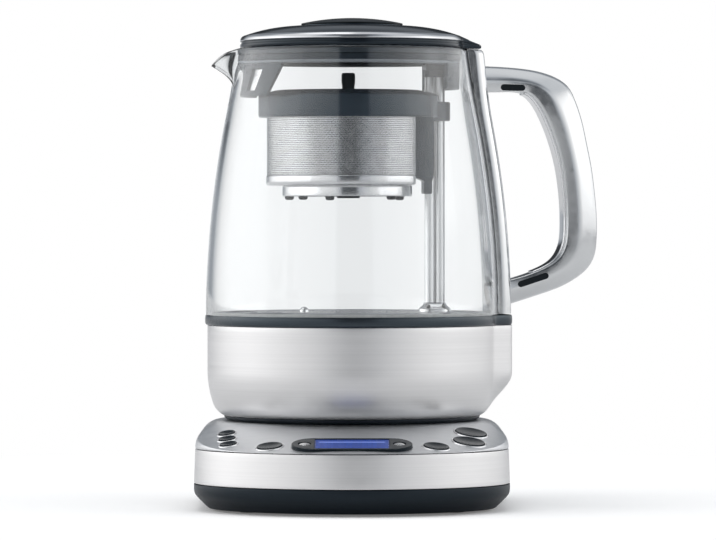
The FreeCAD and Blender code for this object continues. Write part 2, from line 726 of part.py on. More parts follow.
def make_plug():
    """Round male connector of the base and its ring and pin contacts."""
    corners = [
        Corner("0", "plug_low"),
        Corner("plug_flange", "plug_low"),
        Corner("plug_flange", "deck - wall"),
        Corner("plug_radius", "deck - wall"),
        Corner("plug_radius", "plug_high - 1"),
        Corner("plug_radius - 1", "plug_high"),
        Corner("contact_outer", "plug_high"),
        Corner("contact_outer", "deck"),
        Corner("contact_inner", "deck"),
        Corner("contact_inner", "plug_high"),
        Corner("contact_pin", "plug_high"),
        Corner("contact_pin", "deck"),
        Corner("0", "deck"),
    ]
    named(turned("plug_form", corners), "base_plug")
    outer = ring("ring_contact", "contact_outer - contact_wall", "contact_outer", "deck", "plug_high - 2")
    inner = ring("inner_contact", "contact_inner", "contact_inner + contact_wall", "deck", "plug_high - 2")
    pin = rod("pin_contact", "contact_pin - free_clearance", "deck", "plug_high - contact_rise")
    named(fuse("contacts", outer, inner, pin), "plug_contacts")


# ---------------------------------------------------------------- jug, lower half
def make_socket():
    """Female half of the round connector, carried under the jug."""
    corners = [
        Corner("0", "socket_ceiling"),
        Corner("socket_bore", "socket_ceiling"),
        Corner("socket_bore", "socket_low + socket_chamfer"),
        Corner("socket_bore + socket_chamfer", "socket_low"),
        Corner("socket_radius", "socket_low"),
        Corner("socket_radius", "socket_high"),
        Corner("0", "socket_high"),
    ]
    named(turned("socket_form", corners), "jug_socket")


def make_jug_foot():
    """Black foot ring and bottom plate of the jug, its connector window and screws."""
    corners = [
        Corner("socket_window", "jug_foot_plate"),
        Corner("jug_foot_inner", "jug_foot_plate"),
        Corner("jug_foot_inner", "jug_foot_low"),
        Corner("jug_foot_outer - jug_foot_chamfer", "jug_foot_low"),
        Corner("jug_foot_outer", "jug_foot_low + jug_foot_chamfer"),
        Corner("jug_foot_outer", "jug_foot_plate + loose_clearance"),
        Corner("jug_foot_outer - 4", "jug_foot_top"),
        Corner("socket_window", "jug_foot_top"),
    ]
    holes = []
    screws = []
    for turn in (60, 180, 300):
        x = f"jug_screw_reach * cos({turn})"
        y = f"jug_screw_reach * sin({turn})"
        hole = rod("jug_screw_hole", "screw_radius + free_clearance", "jug_foot_low", "jug_foot_top + 1")
        head = rod("jug_screw_head", "screw_head", "jug_foot_plate - screw_head_height",
                   "jug_foot_plate")
        shank = rod("jug_screw_shank", "screw_radius", "jug_foot_plate - 0.5",
                    "jug_foot_plate + screw_length")
        for item in (hole, head, shank):
            tie(item, Placement__Base__x=x, Placement__Base__y=y)
        holes.append(hole)
        screws.append(fuse("jug_screw", head, shank))
    named(cut("jug_foot_cut", turned("jug_foot_form", corners), *holes), "jug_foot")
    named(fuse("jug_screws", *screws), "jug_foot_screws")


def shell_heel(offset):
    """Corners of the shell's lower curve, from the heel to the bulge, moved in by offset."""
    flank = f"(shell_flank - {offset})"
    heel = f"(shell_heel - {offset})"
    step = "(shell_flank - shell_heel)"
    base_r = "(shell_radius - shell_flank)"
    centre_r = f"({base_r} + {step} * cos(shell_flank_angle))"
    centre_z = f"(shell_bulge - {step} * sin(shell_flank_angle))"
    return (
        (f"{centre_r} + {heel} * cos(shell_heel_angle)", f"{centre_z} - {heel} * sin(shell_heel_angle)"),
        (f"{base_r} + {flank} * cos(shell_flank_angle)", f"shell_bulge - {flank} * sin(shell_flank_angle)"),
        heel,
        flank,
    )


def make_jug_shell():
    """Steel skin of the jug's lower half, with the bulge that carries the handle."""
    (toe_r, toe_z), (mid_r, mid_z), heel, flank = shell_heel("0")
    (in_toe_r, in_toe_z), (in_mid_r, in_mid_z), in_heel, in_flank = shell_heel("shell_wall")
    corners = [
        Corner(toe_r, toe_z, heel),
        Corner(mid_r, mid_z, flank),
        Corner("shell_radius", "shell_bulge"),
        Corner("shell_radius", "shell_top"),
        Corner("shell_radius - shell_wall", "shell_top"),
        Corner("shell_radius - shell_wall", "shell_bulge", in_flank, left=False),
        Corner(in_mid_r, in_mid_z, in_heel, left=False),
        Corner(in_toe_r, in_toe_z),
    ]
    skin = turned("shell_skin", corners)
    boot_corners = [
        Corner("shell_radius - bite", "boot_low"),
        Corner("boot_radius", "boot_shoulder"),
        Corner("boot_radius", "shell_top"),
        Corner("shell_radius - bite", "shell_top"),
    ]
    boot = turned("shell_boot", boot_corners, "boot_half_angle")
    outside = value("boot_radius") - 0.1
    top = value("shell_top") - 0.1

    def outer_edge(edge):
        middle = edge.BoundBox.Center
        reach = min(math.hypot(v.X, v.Y) for v in edge.Vertexes)
        return reach > outside and middle.z < top and len(edge.Vertexes) == 2

    rounded(boot, "boot_round_edges", "boot_round", outer_edge)
    named(aim(fuse("shell", skin, boot)), "jug_shell")


def make_jug_collar():
    """Black collar that joins steel and glass, notched wider behind the handle."""
    corners = [
        Corner("collar_inner", "shell_top"),
        Corner("collar_radius", "shell_top"),
        Corner("collar_radius", "collar_top"),
        Corner("glass_radius + snug_clearance", "collar_top"),
        Corner("glass_radius + snug_clearance", "glass_low"),
        Corner("collar_inner", "glass_low"),
    ]
    band = turned("collar_band", corners)
    lug_corners = [
        Corner("collar_radius - 0.5 * bite", "shell_top"),
        Corner("boot_radius", "shell_top"),
        Corner("boot_radius", "collar_top"),
        Corner("collar_radius - 0.5 * bite", "collar_top"),
    ]
    lug = turned("collar_lug", lug_corners, "boot_half_angle")
    named(aim(fuse("collar", band, lug)), "jug_collar")


def make_floor_parts():
    """Steel floor of the jug, the heater ring under it, its seal and the water probe."""
    hole = rod("floor_hole_drive", "tube_radius", "floor_low - 1", "floor_top + 1")
    tie(hole, Placement__Base__x="drive_reach")
    guide = rod("floor_hole_guide", "tube_radius", "floor_low - 1", "floor_top + 1")
    tie(guide, Placement__Base__x="guide_reach")
    probe_hole = rod("floor_hole_probe", "probe_radius", "floor_low - 1", "floor_top + 1")
    tie(probe_hole, Placement__Base__x="probe_reach")
    disc = rod("floor_disc", "floor_radius", "floor_low", "floor_top")
    named(aim(cut("floor", disc, hole, guide, probe_hole)), "jug_floor")
    element = doc.addObject("Part::Torus", "element")
    tie(element, Radius1="element_reach", Radius2="element_radius", Placement__Base__z="element_height")
    named(element, "heating_element")
    seal = ring("seal_ring", "floor_radius + snug_clearance",
                "glass_radius - glass_wall - snug_clearance", "glass_low + free_clearance", "floor_top")
    named(seal, "glass_seal")
    tip = "probe_radius"
    corners = [
        Corner("0", "probe_low"),
        Corner(tip, "probe_low"),
        Corner(tip, f"probe_top - {tip}", tip),
        Corner("0", "probe_top"),
    ]
    named(aim(turned("probe", corners), "probe_reach"), "temperature_probe")


# ---------------------------------------------------------------- glass
def glass_side(offset):
    """Corner formulas of the glass wall from the bottom to the rim, moved in by offset.

    The belly is an arc tangent to the upright wall; the neck turns the other way.
    """
    radius = f"(glass_radius - {offset})"
    belly = f"(glass_belly_arc - {offset})"
    rise = "(glass_waist - glass_belly)"
    waist_r = f"{radius} - {belly} + sqrt({belly}^2 - {rise}^2)"
    rim_r = f"glass_rim_radius - {offset}"
    neck = f"(glass_neck_arc + {offset})"
    return radius, belly, waist_r, rim_r, neck


def glass_form(name, offset, low, high):
    """The solid inside the glass's outer face, or inside its inner face."""
    radius, belly, waist_r, rim_r, neck = glass_side(offset)
    corners = [
        Corner("0", low),
        Corner(radius, low),
        Corner(radius, "glass_belly", belly),
        Corner(waist_r, "glass_waist", neck, left=False),
        Corner(rim_r, "glass_rim"),
    ]
    if high:
        corners.append(Corner(rim_r, high))
    corners.append(Corner("0", high or "glass_rim"))
    return turned(name, corners)


def spout_form(name, offset, top):
    """Leaning cone of the pouring lip, from its root in the wall up past the rim."""
    tip_r = "spout_tip_reach"
    slope = "((spout_tip_reach - spout_root_reach - spout_root_radius) / (spout_tip - spout_root))"
    front = f"({tip_r} + {slope} * (({top}) - spout_tip))"
    body = doc.addObject("PartDesign::Body", name)
    loft = body.newObject("PartDesign::AdditiveLoft", name + "_loft")
    loft.Profile = spout_circle(body, name + "_root", "spout_root_reach",
                                f"spout_root_radius - {offset}", "spout_root")
    mouth = f"(spout_mouth_radius - {offset})"
    loft.Sections = [spout_circle(body, name + "_mouth", f"{front} - spout_mouth_radius", mouth, top)]
    loft.Ruled = True
    return body


def spout_circle(body, name, reach, radius, height):
    """A circle on the spout's side of the jug."""
    sketch = blank_sketch(body, name, "XY_Plane", height)
    centre = V(-value(reach), 0, 0)
    sketch.addGeometry(Part.Circle(centre, UP, value(radius)), False)
    index = sketch.addConstraint(Sketcher.Constraint("DistanceX", -1, 1, 0, 3, centre.x))
    sketch.setExpression(f"Constraints[{index}]", formula(f"-({reach})"))
    sketch.addConstraint(Sketcher.Constraint("PointOnObject", 0, 3, -1))
    index = sketch.addConstraint(Sketcher.Constraint("Radius", 0, value(radius)))
    sketch.setExpression(f"Constraints[{index}]", formula(radius))
    return sketch


def rim_wedge():
    """Tool that slopes the rim down to the tip of the spout."""
    body = doc.addObject("PartDesign::Body", "rim_wedge")
    fall = "((spout_brow - spout_tip) / (spout_tip_reach - spout_brow_reach))"
    corners = [
        Corner("-glass_rim_radius", "glass_rim"),
        Corner("-spout_brow_reach", "spout_brow"),
        Corner("-spout_brow_reach - wedge_reach", f"spout_brow - wedge_reach * {fall}"),
        Corner("-spout_brow_reach - wedge_reach", "glass_rim + wedge_rise"),
        Corner("-glass_rim_radius", "glass_rim + wedge_rise"),
    ]
    pad(body, "rim_wedge_pad", draw(blank_sketch(body, "rim_wedge_side", "XZ_Plane"), corners),
        "2 * glass_radius", centred=True)
    return body


def make_glass():
    """Glass jug: turned wall, open at both ends, with a pouring lip opposite the handle."""
    outside = fuse("glass_outside", glass_form("glass_outer_form", "0", "glass_low", ""),
                   spout_form("spout_outer", "0", "glass_rim"))
    inside = fuse("glass_inside",
                  glass_form("glass_inner_form", "glass_wall", "glass_low - 1", "glass_rim + 1"),
                  spout_form("spout_inner", "(glass_wall * spout_thinning)", "glass_rim + 1"))
    named(aim(cut("glass", outside, inside, rim_wedge())), "glass_jug")


# ---------------------------------------------------------------- lift
def make_lift():
    """Motor, pinion, gear and lead screw; sealed drive tube, guide rod and their ends."""
    can = rod("motor_can", "motor_radius", "motor_low", "motor_high")
    shaft = rod("motor_shaft_rod", "motor_shaft", "motor_high", "gear_low + gear_width + 1")
    motor_reach = "drive_reach - gear_radius - pinion_radius - gear_gap"
    named(aim(fuse("motor", can, shaft), motor_reach), "lift_motor")
    pinion = ring("pinion_ring", "pinion_bore", "pinion_radius", "gear_low", "gear_low + gear_width")
    named(aim(pinion, motor_reach), "motor_pinion")
    gear = ring("gear_ring", "lead_radius + press_clearance", "gear_radius", "gear_low",
                "gear_low + gear_width")
    named(aim(gear, "drive_reach"), "screw_gear")
    lead = rod("lead", "lead_radius", "lead_low", "lead_high")
    named(aim(lead, "drive_reach", height="lead_low"), "lead_screw")
    nut = ring("nut_ring", "nut_bore", "nut_radius", "nut_low", "nut_low + nut_length")
    named(aim(nut, "drive_reach"), "magnet_nut")
    low = "gear_low + gear_width + 2"
    drive = ring("drive_wall", "drive_bore", "tube_radius", low, "tube_top")
    named(aim(drive, "drive_reach"), "drive_tube")
    guide = rod("guide", "tube_radius", low, "tube_top")
    named(aim(guide, "guide_reach", height=low), "guide_rod")


def post_pad(name, radius, low, high):
    """A rounded pad round both tubes: two discs and the bridge between them."""
    near = tie(rod(name + "_near", radius, low, high), Placement__Base__x="drive_reach")
    far = tie(rod(name + "_far", radius, low, high), Placement__Base__x="guide_reach")
    bridge = block(name + "_bridge", ("drive_reach", "guide_reach"),
                   (f"-({radius})", radius), (low, high))
    return fuse(name, near, far, bridge)


def make_post_ends():
    """Foot flange on the jug floor and cap on top of the two tubes."""
    low, high = "floor_top", "floor_top + post_foot_height"
    pad_form = post_pad("post_foot_pad", "post_foot_radius", low, high)
    holes = [
        tie(rod("post_foot_hole", "tube_radius", "floor_low", f"{high} + 1"), Placement__Base__x=reach)
        for reach in ("drive_reach", "guide_reach")
    ]
    named(aim(cut("post_foot_cut", pad_form, *holes)), "post_foot")
    named(aim(post_pad("post_cap_pad", "post_cap_radius", "tube_top", "post_cap_top")), "post_cap")


# ---------------------------------------------------------------- handle
def make_spine():
    """Metal column up the back of the glass that the handle grows out of."""
    radius, belly, waist_r, rim_r, neck = glass_side("-spine_gap")
    out_radius, out_belly, out_waist, out_rim, out_neck = glass_side("-spine_skin")
    corners = [
        Corner(radius, "spine_low"),
        Corner(out_radius, "spine_low", out_belly),
        Corner(f"{out_waist} + spine_waist_skin", "glass_waist", out_neck, left=False),
        Corner("glass_rim_radius + spine_top_skin", "spine_high"),
        Corner("glass_rim_radius + spine_gap + free_clearance", "spine_high", neck),
        Corner(waist_r, "glass_waist", belly, left=False),
    ]
    body = turned("spine_form", corners, "spine_half_angle")
    outer = value("glass_rim_radius + spine_top_skin") - 0.5

    def long_outer_edge(edge):
        reach = min(math.hypot(v.X, v.Y) for v in edge.Vertexes)
        box = edge.BoundBox
        return reach > outer and box.ZLength > 30 and abs(box.Center.y) > 5

    rounded(body, "spine_edges", "spine_edge", long_outer_edge)
    named(aim(body), "handle_spine")


def route(corner_names, bends):
    """Outline corners from named sheet points; bends gives the arcs that follow some."""
    return [
        Corner(name + "_r", name + "_z", bends.get(name, "")) for name in corner_names
    ]


def make_handle():
    """D-shaped handle: one closed outline with the finger gap in it, edges rounded."""
    body = doc.addObject("PartDesign::Body", "handle_form")
    grip_bends = {
        "heel_start": "grip_heel_bend", "back_low": "grip_back_bend", "back_high": "grip_brow_bend",
    }
    gap_bends = {
        "gap_heel_start": "gap_heel_bend", "gap_back_low": "gap_back_bend",
        "gap_back_high": "gap_brow_bend",
    }
    outer = draw(blank_sketch(body, "handle_outline", "XZ_Plane"), route(GRIP, grip_bends))
    pad(body, "handle_pad", outer, "2 * handle_half_width", centred=True)
    hole = draw(blank_sketch(body, "handle_gap_outline", "XZ_Plane"), route(FINGER_GAP, gap_bends))
    pocket(body, "handle_gap", hole, "4 * handle_half_width").SideType = "Symmetric"
    half = value("handle_half_width")

    def face_edge(edge):
        box = edge.BoundBox
        on_face = box.YLength < 0.01 and abs(abs(box.Center.y) - half) < 0.01
        return on_face and box.XMax > value("gap_root_low_r") + 10

    rounded(body, "handle_edges", "handle_edge", face_edge)
    clear = glass_form("handle_clear", "(-spine_skin - 1)", "spine_low - 2 * handle_edge",
                       "glass_rim + 2 * handle_edge")
    named(aim(cut("handle_trimmed", body, clear)), "handle")


def make_handle_insert():
    """Soft strip let into the inside of the grip, following its curve."""

    def back_curve(height, gap):
        flat = "(gap_back_bend^2 - ({0} - gap_back_low_z)^2)".format(height)
        return f"gap_back_low_r - gap_back_bend + sqrt{flat} - {gap}"

    body = doc.addObject("PartDesign::Body", "insert_form")
    corners = [
        Corner(back_curve("gap_back_low_z", "snug_clearance"), "gap_back_low_z", "gap_back_bend"),
        Corner(back_curve("insert_high", "snug_clearance"), "insert_high"),
        Corner(back_curve("insert_high", "insert_thickness"), "insert_high", "gap_back_bend", left=False),
        Corner(back_curve("gap_back_low_z", "insert_thickness"), "gap_back_low_z"),
        Corner(back_curve("gap_back_low_z", "insert_thickness") + " - 2 * free_clearance", "insert_low"),
        Corner(back_curve("gap_back_low_z", "5 * snug_clearance"), "insert_low"),
    ]
    sketch = draw(blank_sketch(body, "insert_side", "XZ_Plane"), corners)
    pad(body, "insert_pad", sketch, "2 * insert_half_width", centred=True)
    named(aim(body), "handle_insert")


# ---------------------------------------------------------------- lid
def make_lid():
    """Domed lid with a tab over the handle, knob, skirt, seal, plate and spout filter."""
    wall = "lid_wall"
    corners = [
        Corner("0", "lid_crown - " + wall),
        Corner("lid_flat", "lid_crown - " + wall, f"lid_dome - {wall}", left=False),
        Corner("lid_radius - " + wall, f"lid_edge - {wall} + 2 * free_clearance"),
        Corner("lid_radius - " + wall, "lid_low"),
        Corner("lid_radius", "lid_low"),
        Corner("lid_radius", "lid_edge", "lid_dome"),
        Corner("lid_flat", "lid_crown"),
        Corner("0", "lid_crown"),
    ]
    dome = turned("lid_dome_form", corners)
    tab_corners = [
        Corner("lid_radius - 1", "lid_low"),
        Corner("lid_tab_reach", "lid_low"),
        Corner("lid_tab_reach", "lid_tab_tip"),
        Corner("lid_radius - 1", "lid_tab_top"),
    ]
    tab = turned("lid_tab_form", tab_corners, "lid_tab_half_angle")
    named(aim(fuse("lid_fused", dome, tab)), "lid_shell")
    knob_corners = [
        Corner("0", "lid_crown"),
        Corner("knob_radius", "lid_crown"),
        Corner("knob_radius", "knob_rim - knob_edge"),
        Corner("knob_radius - knob_edge", "knob_rim", "knob_dome"),
        Corner("knob_flat", "knob_top"),
        Corner("0", "knob_top"),
    ]
    named(turned("lid_knob_form", knob_corners), "lid_knob")
    skirt = ring("skirt_ring", "skirt_radius - skirt_wall", "skirt_radius", "skirt_low",
                 "lid_low + bite")
    named(skirt, "lid_skirt")
    seal = ring("lid_seal_ring", "skirt_radius + press_clearance", "seal_radius", "seal_low",
                "seal_low + seal_height")
    named(seal, "lid_seal")
    annulus = ring("plate_ring", "plate_inner", "plate_radius", "plate_low", "skirt_low")
    guide = turned("guide_arc", [
        Corner("guide_near", "guide_low"), Corner("guide_far", "guide_low"),
        Corner("guide_far", "plate_low + 1"), Corner("guide_near", "plate_low + 1"),
    ], "guide_half_angle")
    named(aim(fuse("plate_with_guide", annulus, guide)), "lid_plate")


def make_spout_filter():
    """Curved filter frame under the lid on the spout's side, and the mesh in its window."""
    inner = "filter_radius - filter_thickness"
    frame = turned("filter_arc", [
        Corner(inner, "filter_low"), Corner("filter_radius", "filter_low"),
        Corner("filter_radius", "plate_low"), Corner(inner, "plate_low"),
    ], "filter_half_angle")
    low, high = "filter_low + window_margin", "plate_low - window_margin"
    window = turned("filter_window", [
        Corner(inner + " - 1", low), Corner("filter_radius + 1", low),
        Corner("filter_radius + 1", high), Corner(inner + " - 1", high),
    ], "window_half_angle")
    sheet_in = f"{inner} + (filter_thickness - filter_mesh) / 2"
    mesh = turned("filter_sheet", [
        Corner(sheet_in, low + " + press_clearance"),
        Corner(sheet_in + " + filter_mesh", low + " + press_clearance"),
        Corner(sheet_in + " + filter_mesh", high + " - press_clearance"),
        Corner(sheet_in, high + " - press_clearance"),
    ], "window_half_angle - press_clearance")
    for item, label in ((cut("filter_frame", frame, window), "spout_filter_frame"),
                        (mesh, "spout_filter_mesh")):
        turn = "handle_azimuth + half_turn"
        item.Placement = FreeCAD.Placement(V(), FreeCAD.Rotation(UP, value(turn)))
        named(tie(item, Placement__Rotation__Angle=turn), label)


# ---------------------------------------------------------------- tea basket
def make_basket_ring():
    """Plastic ring of the basket with the sleeve and leg that ride on the lift post."""
    hoop = turned("hoop", [
        Corner("ring_radius - ring_wall", "ring_low"), Corner("ring_radius", "ring_low"),
        Corner("ring_radius", "ring_high - ring_slope"),
        Corner("ring_radius - ring_wall", "ring_high"),
    ])
    tie(hoop, Placement__Base__x="basket_offset")
    room = "(tube_radius + slot_clearance)"
    sleeve = post_pad("sleeve_pad", f"{room} + sleeve_wall", "sleeve_low", "sleeve_high")
    leg = block("leg_block", ("leg_inner", "leg_outer"), ("-leg_half_width", "leg_half_width"),
                ("leg_low", "leg_high"))
    toe = block("toe_block", ("toe_inner", "toe_outer"), ("-leg_half_width", "leg_half_width"),
                ("toe_low", "leg_low + 1"))
    slot = post_pad("post_slot", room, "toe_low - 1", "ring_high + leg_half_width")
    half = "magnet_half + snug_clearance"
    near = f"(drive_reach - {room} - magnet_skin - 2 * magnet_half)"
    pit = block("magnet_pit", (near, near + " + 2 * magnet_half"),
                (f"-({half})", half), ("magnet_low", "magnet_low + magnet_length"))
    named(aim(cut("basket_ring_cut", fuse("basket_ring_fused", hoop, sleeve, leg, toe), slot, pit)),
          "basket_ring")
    magnet = plate("magnet", "magnet_half - snug_clearance", "magnet_half",
                   "magnet_low + snug_clearance",
                   "magnet_low + magnet_length - snug_clearance")
    named(aim(magnet, near + " + magnet_half"), "follower_magnet")


def flattened(name, radius, low, high, flat):
    """An upright disc on the basket's axis with its post side cut flat."""
    round_part = tie(rod(name + "_round", radius, low, high), Placement__Base__x="basket_offset")
    keep = block(name + "_keep", (f"-2 * ({radius})", flat), (f"-2 * ({radius})", f"2 * ({radius})"),
                 (low, high))
    return common(name, round_part, keep)


def make_basket_cup():
    """Steel cup of the basket, flattened next to the post, and the disc under it."""
    outer = flattened("cup_outside", "cup_radius", "cup_low", "cup_high", "cup_flat")
    inner = flattened("cup_inside", "cup_radius - cup_wall", "cup_low + cup_wall", "cup_high + 1",
                      "cup_flat - cup_wall")
    named(aim(cut("cup_cut", outer, inner)), "basket_cup")
    wall = "base_disc_wall"
    disc = turned("basket_disc_form", [
        Corner("base_disc_radius - " + wall, "base_disc_low"),
        Corner("base_disc_radius", "base_disc_low"),
        Corner("base_disc_radius", "cup_low"),
        Corner("0", "cup_low"),
        Corner("0", "cup_low - " + wall),
        Corner("base_disc_radius - " + wall, "cup_low - " + wall),
    ])
    tie(disc, Placement__Base__x="basket_offset")
    beyond = block("disc_beyond", ("cup_flat", "cup_flat + base_disc_radius"),
                   ("-base_disc_radius", "base_disc_radius"), ("base_disc_low - 1", "cup_low + 1"))
    named(aim(cut("basket_disc_cut", disc, beyond)), "basket_disc")


def make_basket_lid():
    """Loose lid of the basket, cut flat in front of the post, with its small knob."""
    disc = turned("tea_lid_disc", [
        Corner("0", "tea_lid_low"), Corner("tea_lid_radius", "tea_lid_low"),
        Corner("tea_lid_radius", "tea_lid_low + tea_lid_thickness - tea_lid_slope"),
        Corner("tea_lid_radius - 4 * tea_lid_slope", "tea_lid_low + tea_lid_thickness"),
        Corner("0", "tea_lid_low + tea_lid_thickness"),
    ])
    tie(disc, Placement__Base__x="basket_offset")
    beyond = block("tea_lid_beyond", ("tea_lid_flat", "tea_lid_flat + tea_lid_radius"),
                   ("-tea_lid_radius", "tea_lid_radius"), ("tea_lid_low - 1", "ring_high + 1"))
    named(aim(cut("tea_lid_cut", disc, beyond)), "basket_lid")
    top = "tea_lid_low + tea_lid_thickness"
    knob = turned("tea_knob_form", [
        Corner("0", top), Corner("tea_knob_neck", top),
        Corner("tea_knob_neck", "tea_knob_top - tea_knob_head - tea_knob_cone"),
        Corner("tea_knob_radius", "tea_knob_top - tea_knob_head"),
        Corner("tea_knob_radius", "tea_knob_top - tea_knob_chamfer"),
        Corner("tea_knob_radius - tea_knob_chamfer", "tea_knob_top"),
        Corner("0", "tea_knob_top"),
    ])
    named(aim(knob, "basket_offset"), "basket_lid_knob")


# ---------------------------------------------------------------- build, check, write
def make_everything():
    """Build every sub-part in turn."""
    for make in (
        make_base_tray, make_feet_and_screws, make_base_band, make_base_cover, make_display,
        make_button_collars, make_electronics, make_cord_gland, make_plug, make_socket,
        make_jug_foot, make_jug_shell, make_jug_collar, make_floor_parts, make_glass,
        make_lift, make_post_ends, make_spine, make_handle, make_handle_insert, make_lid,
        make_spout_filter, make_basket_ring, make_basket_cup, make_basket_lid,
    ):
        make()
    for push in BUTTONS:
        make_button(push)
    doc.recompute()


def faults():
    """Objects that failed to compute and sub-parts without a sound solid."""
    bad = [f"{o.Label}: {o.State}" for o in doc.Objects if {"Invalid", "Error"} & set(o.State)]
    for node in NODES:
        shape = node.Shape
        if shape.isNull() or not shape.isValid() or not shape.Solids:
            bad.append(f"{node.Label}: no sound solid")
    return bad


make_everything()
problems = faults()
if problems:
    raise SystemExit("\n".join(problems))
os.makedirs("parts", exist_ok=True)
for node in NODES:
    node.Shape.exportStep(f"parts/{node.Label}.step")
print(len(NODES), "sub-parts written")
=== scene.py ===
"""Looks of an automatic tea maker: power base, glass jug with its handle and lid, and tea basket.

Shapes are drawn in millimetres about the jug's upright axis and brought to metres when a
piece is finished.  The handle, the lift post and the lid's tab stand at one azimuth, and the
pouring lip opposite it.
"""

import logging
import math
from dataclasses import dataclass, field
from enum import Enum
from typing import Callable, Sequence

import bmesh
import bpy
from mathutils import Matrix, Vector


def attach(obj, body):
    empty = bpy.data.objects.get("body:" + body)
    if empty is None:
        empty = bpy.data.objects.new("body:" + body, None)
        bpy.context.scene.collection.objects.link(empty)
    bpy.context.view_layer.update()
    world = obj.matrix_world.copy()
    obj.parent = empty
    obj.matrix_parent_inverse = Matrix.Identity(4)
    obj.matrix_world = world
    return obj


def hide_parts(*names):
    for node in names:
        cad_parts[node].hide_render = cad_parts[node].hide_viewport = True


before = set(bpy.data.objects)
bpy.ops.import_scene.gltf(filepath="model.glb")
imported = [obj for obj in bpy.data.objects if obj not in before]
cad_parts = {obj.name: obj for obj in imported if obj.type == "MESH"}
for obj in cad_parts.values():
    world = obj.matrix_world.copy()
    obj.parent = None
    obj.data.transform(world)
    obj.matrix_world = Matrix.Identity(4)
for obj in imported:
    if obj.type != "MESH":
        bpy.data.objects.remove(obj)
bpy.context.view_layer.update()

log = logging.getLogger("tea_maker")

MM = 0.001
UP = Vector((0.0, 0.0, 1.0))
AIM = math.radians(8.0)
POUR = AIM + math.pi
AT_HANDLE = Matrix.Rotation(AIM, 4, "Z")
POST_NEAR, POST_FAR = 42.5, 48.1
POST_RUN = (POST_FAR - POST_NEAR) / 2.0
POST_MIDDLE = POST_NEAR + POST_RUN
BASKET_OFFSET = -2.0
FEET = ((-52.0, -78.0), (52.0, -78.0), (-52.0, 52.0), (52.0, 52.0), (0.0, 0.0))
WHITE = (1.0, 1.0, 1.0, 1.0)
MERGE = 1e-4
Socket = bpy.types.NodeSocket
Point = tuple[float, float]


class Body(Enum):
    """Moving bodies that pieces ride on."""

    BASE = "base"
    SOCKET = "socket"
    JUG = "jug"
    LID = "lid"
    BASKET = "basket"
    BASKET_COVER = "basket_cover"


class Plane(Enum):
    """Plane in which an outline is drawn: upright side view or plan."""

    SIDE = "side"
    PLAN = "plan"


# ---------------------------------------------------------------- small mathematics
def smooth(low: float, high: float, value: float) -> float:
    """Ease from 0 at low to 1 at high, which may be less than low."""
    t = min(max((value - low) / (high - low), 0.0), 1.0)
    return t * t * (3.0 - 2.0 * t)


def soft_min(a: float, b: float, blend: float) -> float:
    """Smaller of two heights with the crease between them rounded over blend."""
    gap = max(blend - abs(a - b), 0.0) / blend
    return min(a, b) - gap * gap * blend / 4.0


def turn_from(direction: float, x: float, y: float) -> float:
    """Angle of a plan point from a direction, in degrees from -180 to 180."""
    angle = math.atan2(y, x) - direction
    return math.degrees(math.atan2(math.sin(angle), math.cos(angle)))


def catmull(points: Sequence[Sequence[float]], steps: int) -> list[tuple[float, ...]]:
    """Points on a smooth curve through the given stations.

    Args:
        points: Stations, each a row of numbers.
        steps: Points per stretch between two stations.

    Returns:
        The stations with smooth points between them.
    """
    rows = []
    last = len(points) - 1
    for i in range(last):
        p0, p1 = points[max(i - 1, 0)], points[i]
        p2, p3 = points[i + 1], points[min(i + 2, last)]
        for k in range(steps):
            t = k / steps
            rows.append(tuple(
                0.5 * (2 * b + (c - a) * t + (2 * a - 5 * b + 4 * c - d) * t * t
                       + (3 * b - a - 3 * c + d) * t ** 3)
                for a, b, c, d in zip(p0, p1, p2, p3)
            ))
    rows.append(tuple(points[last]))
    return rows


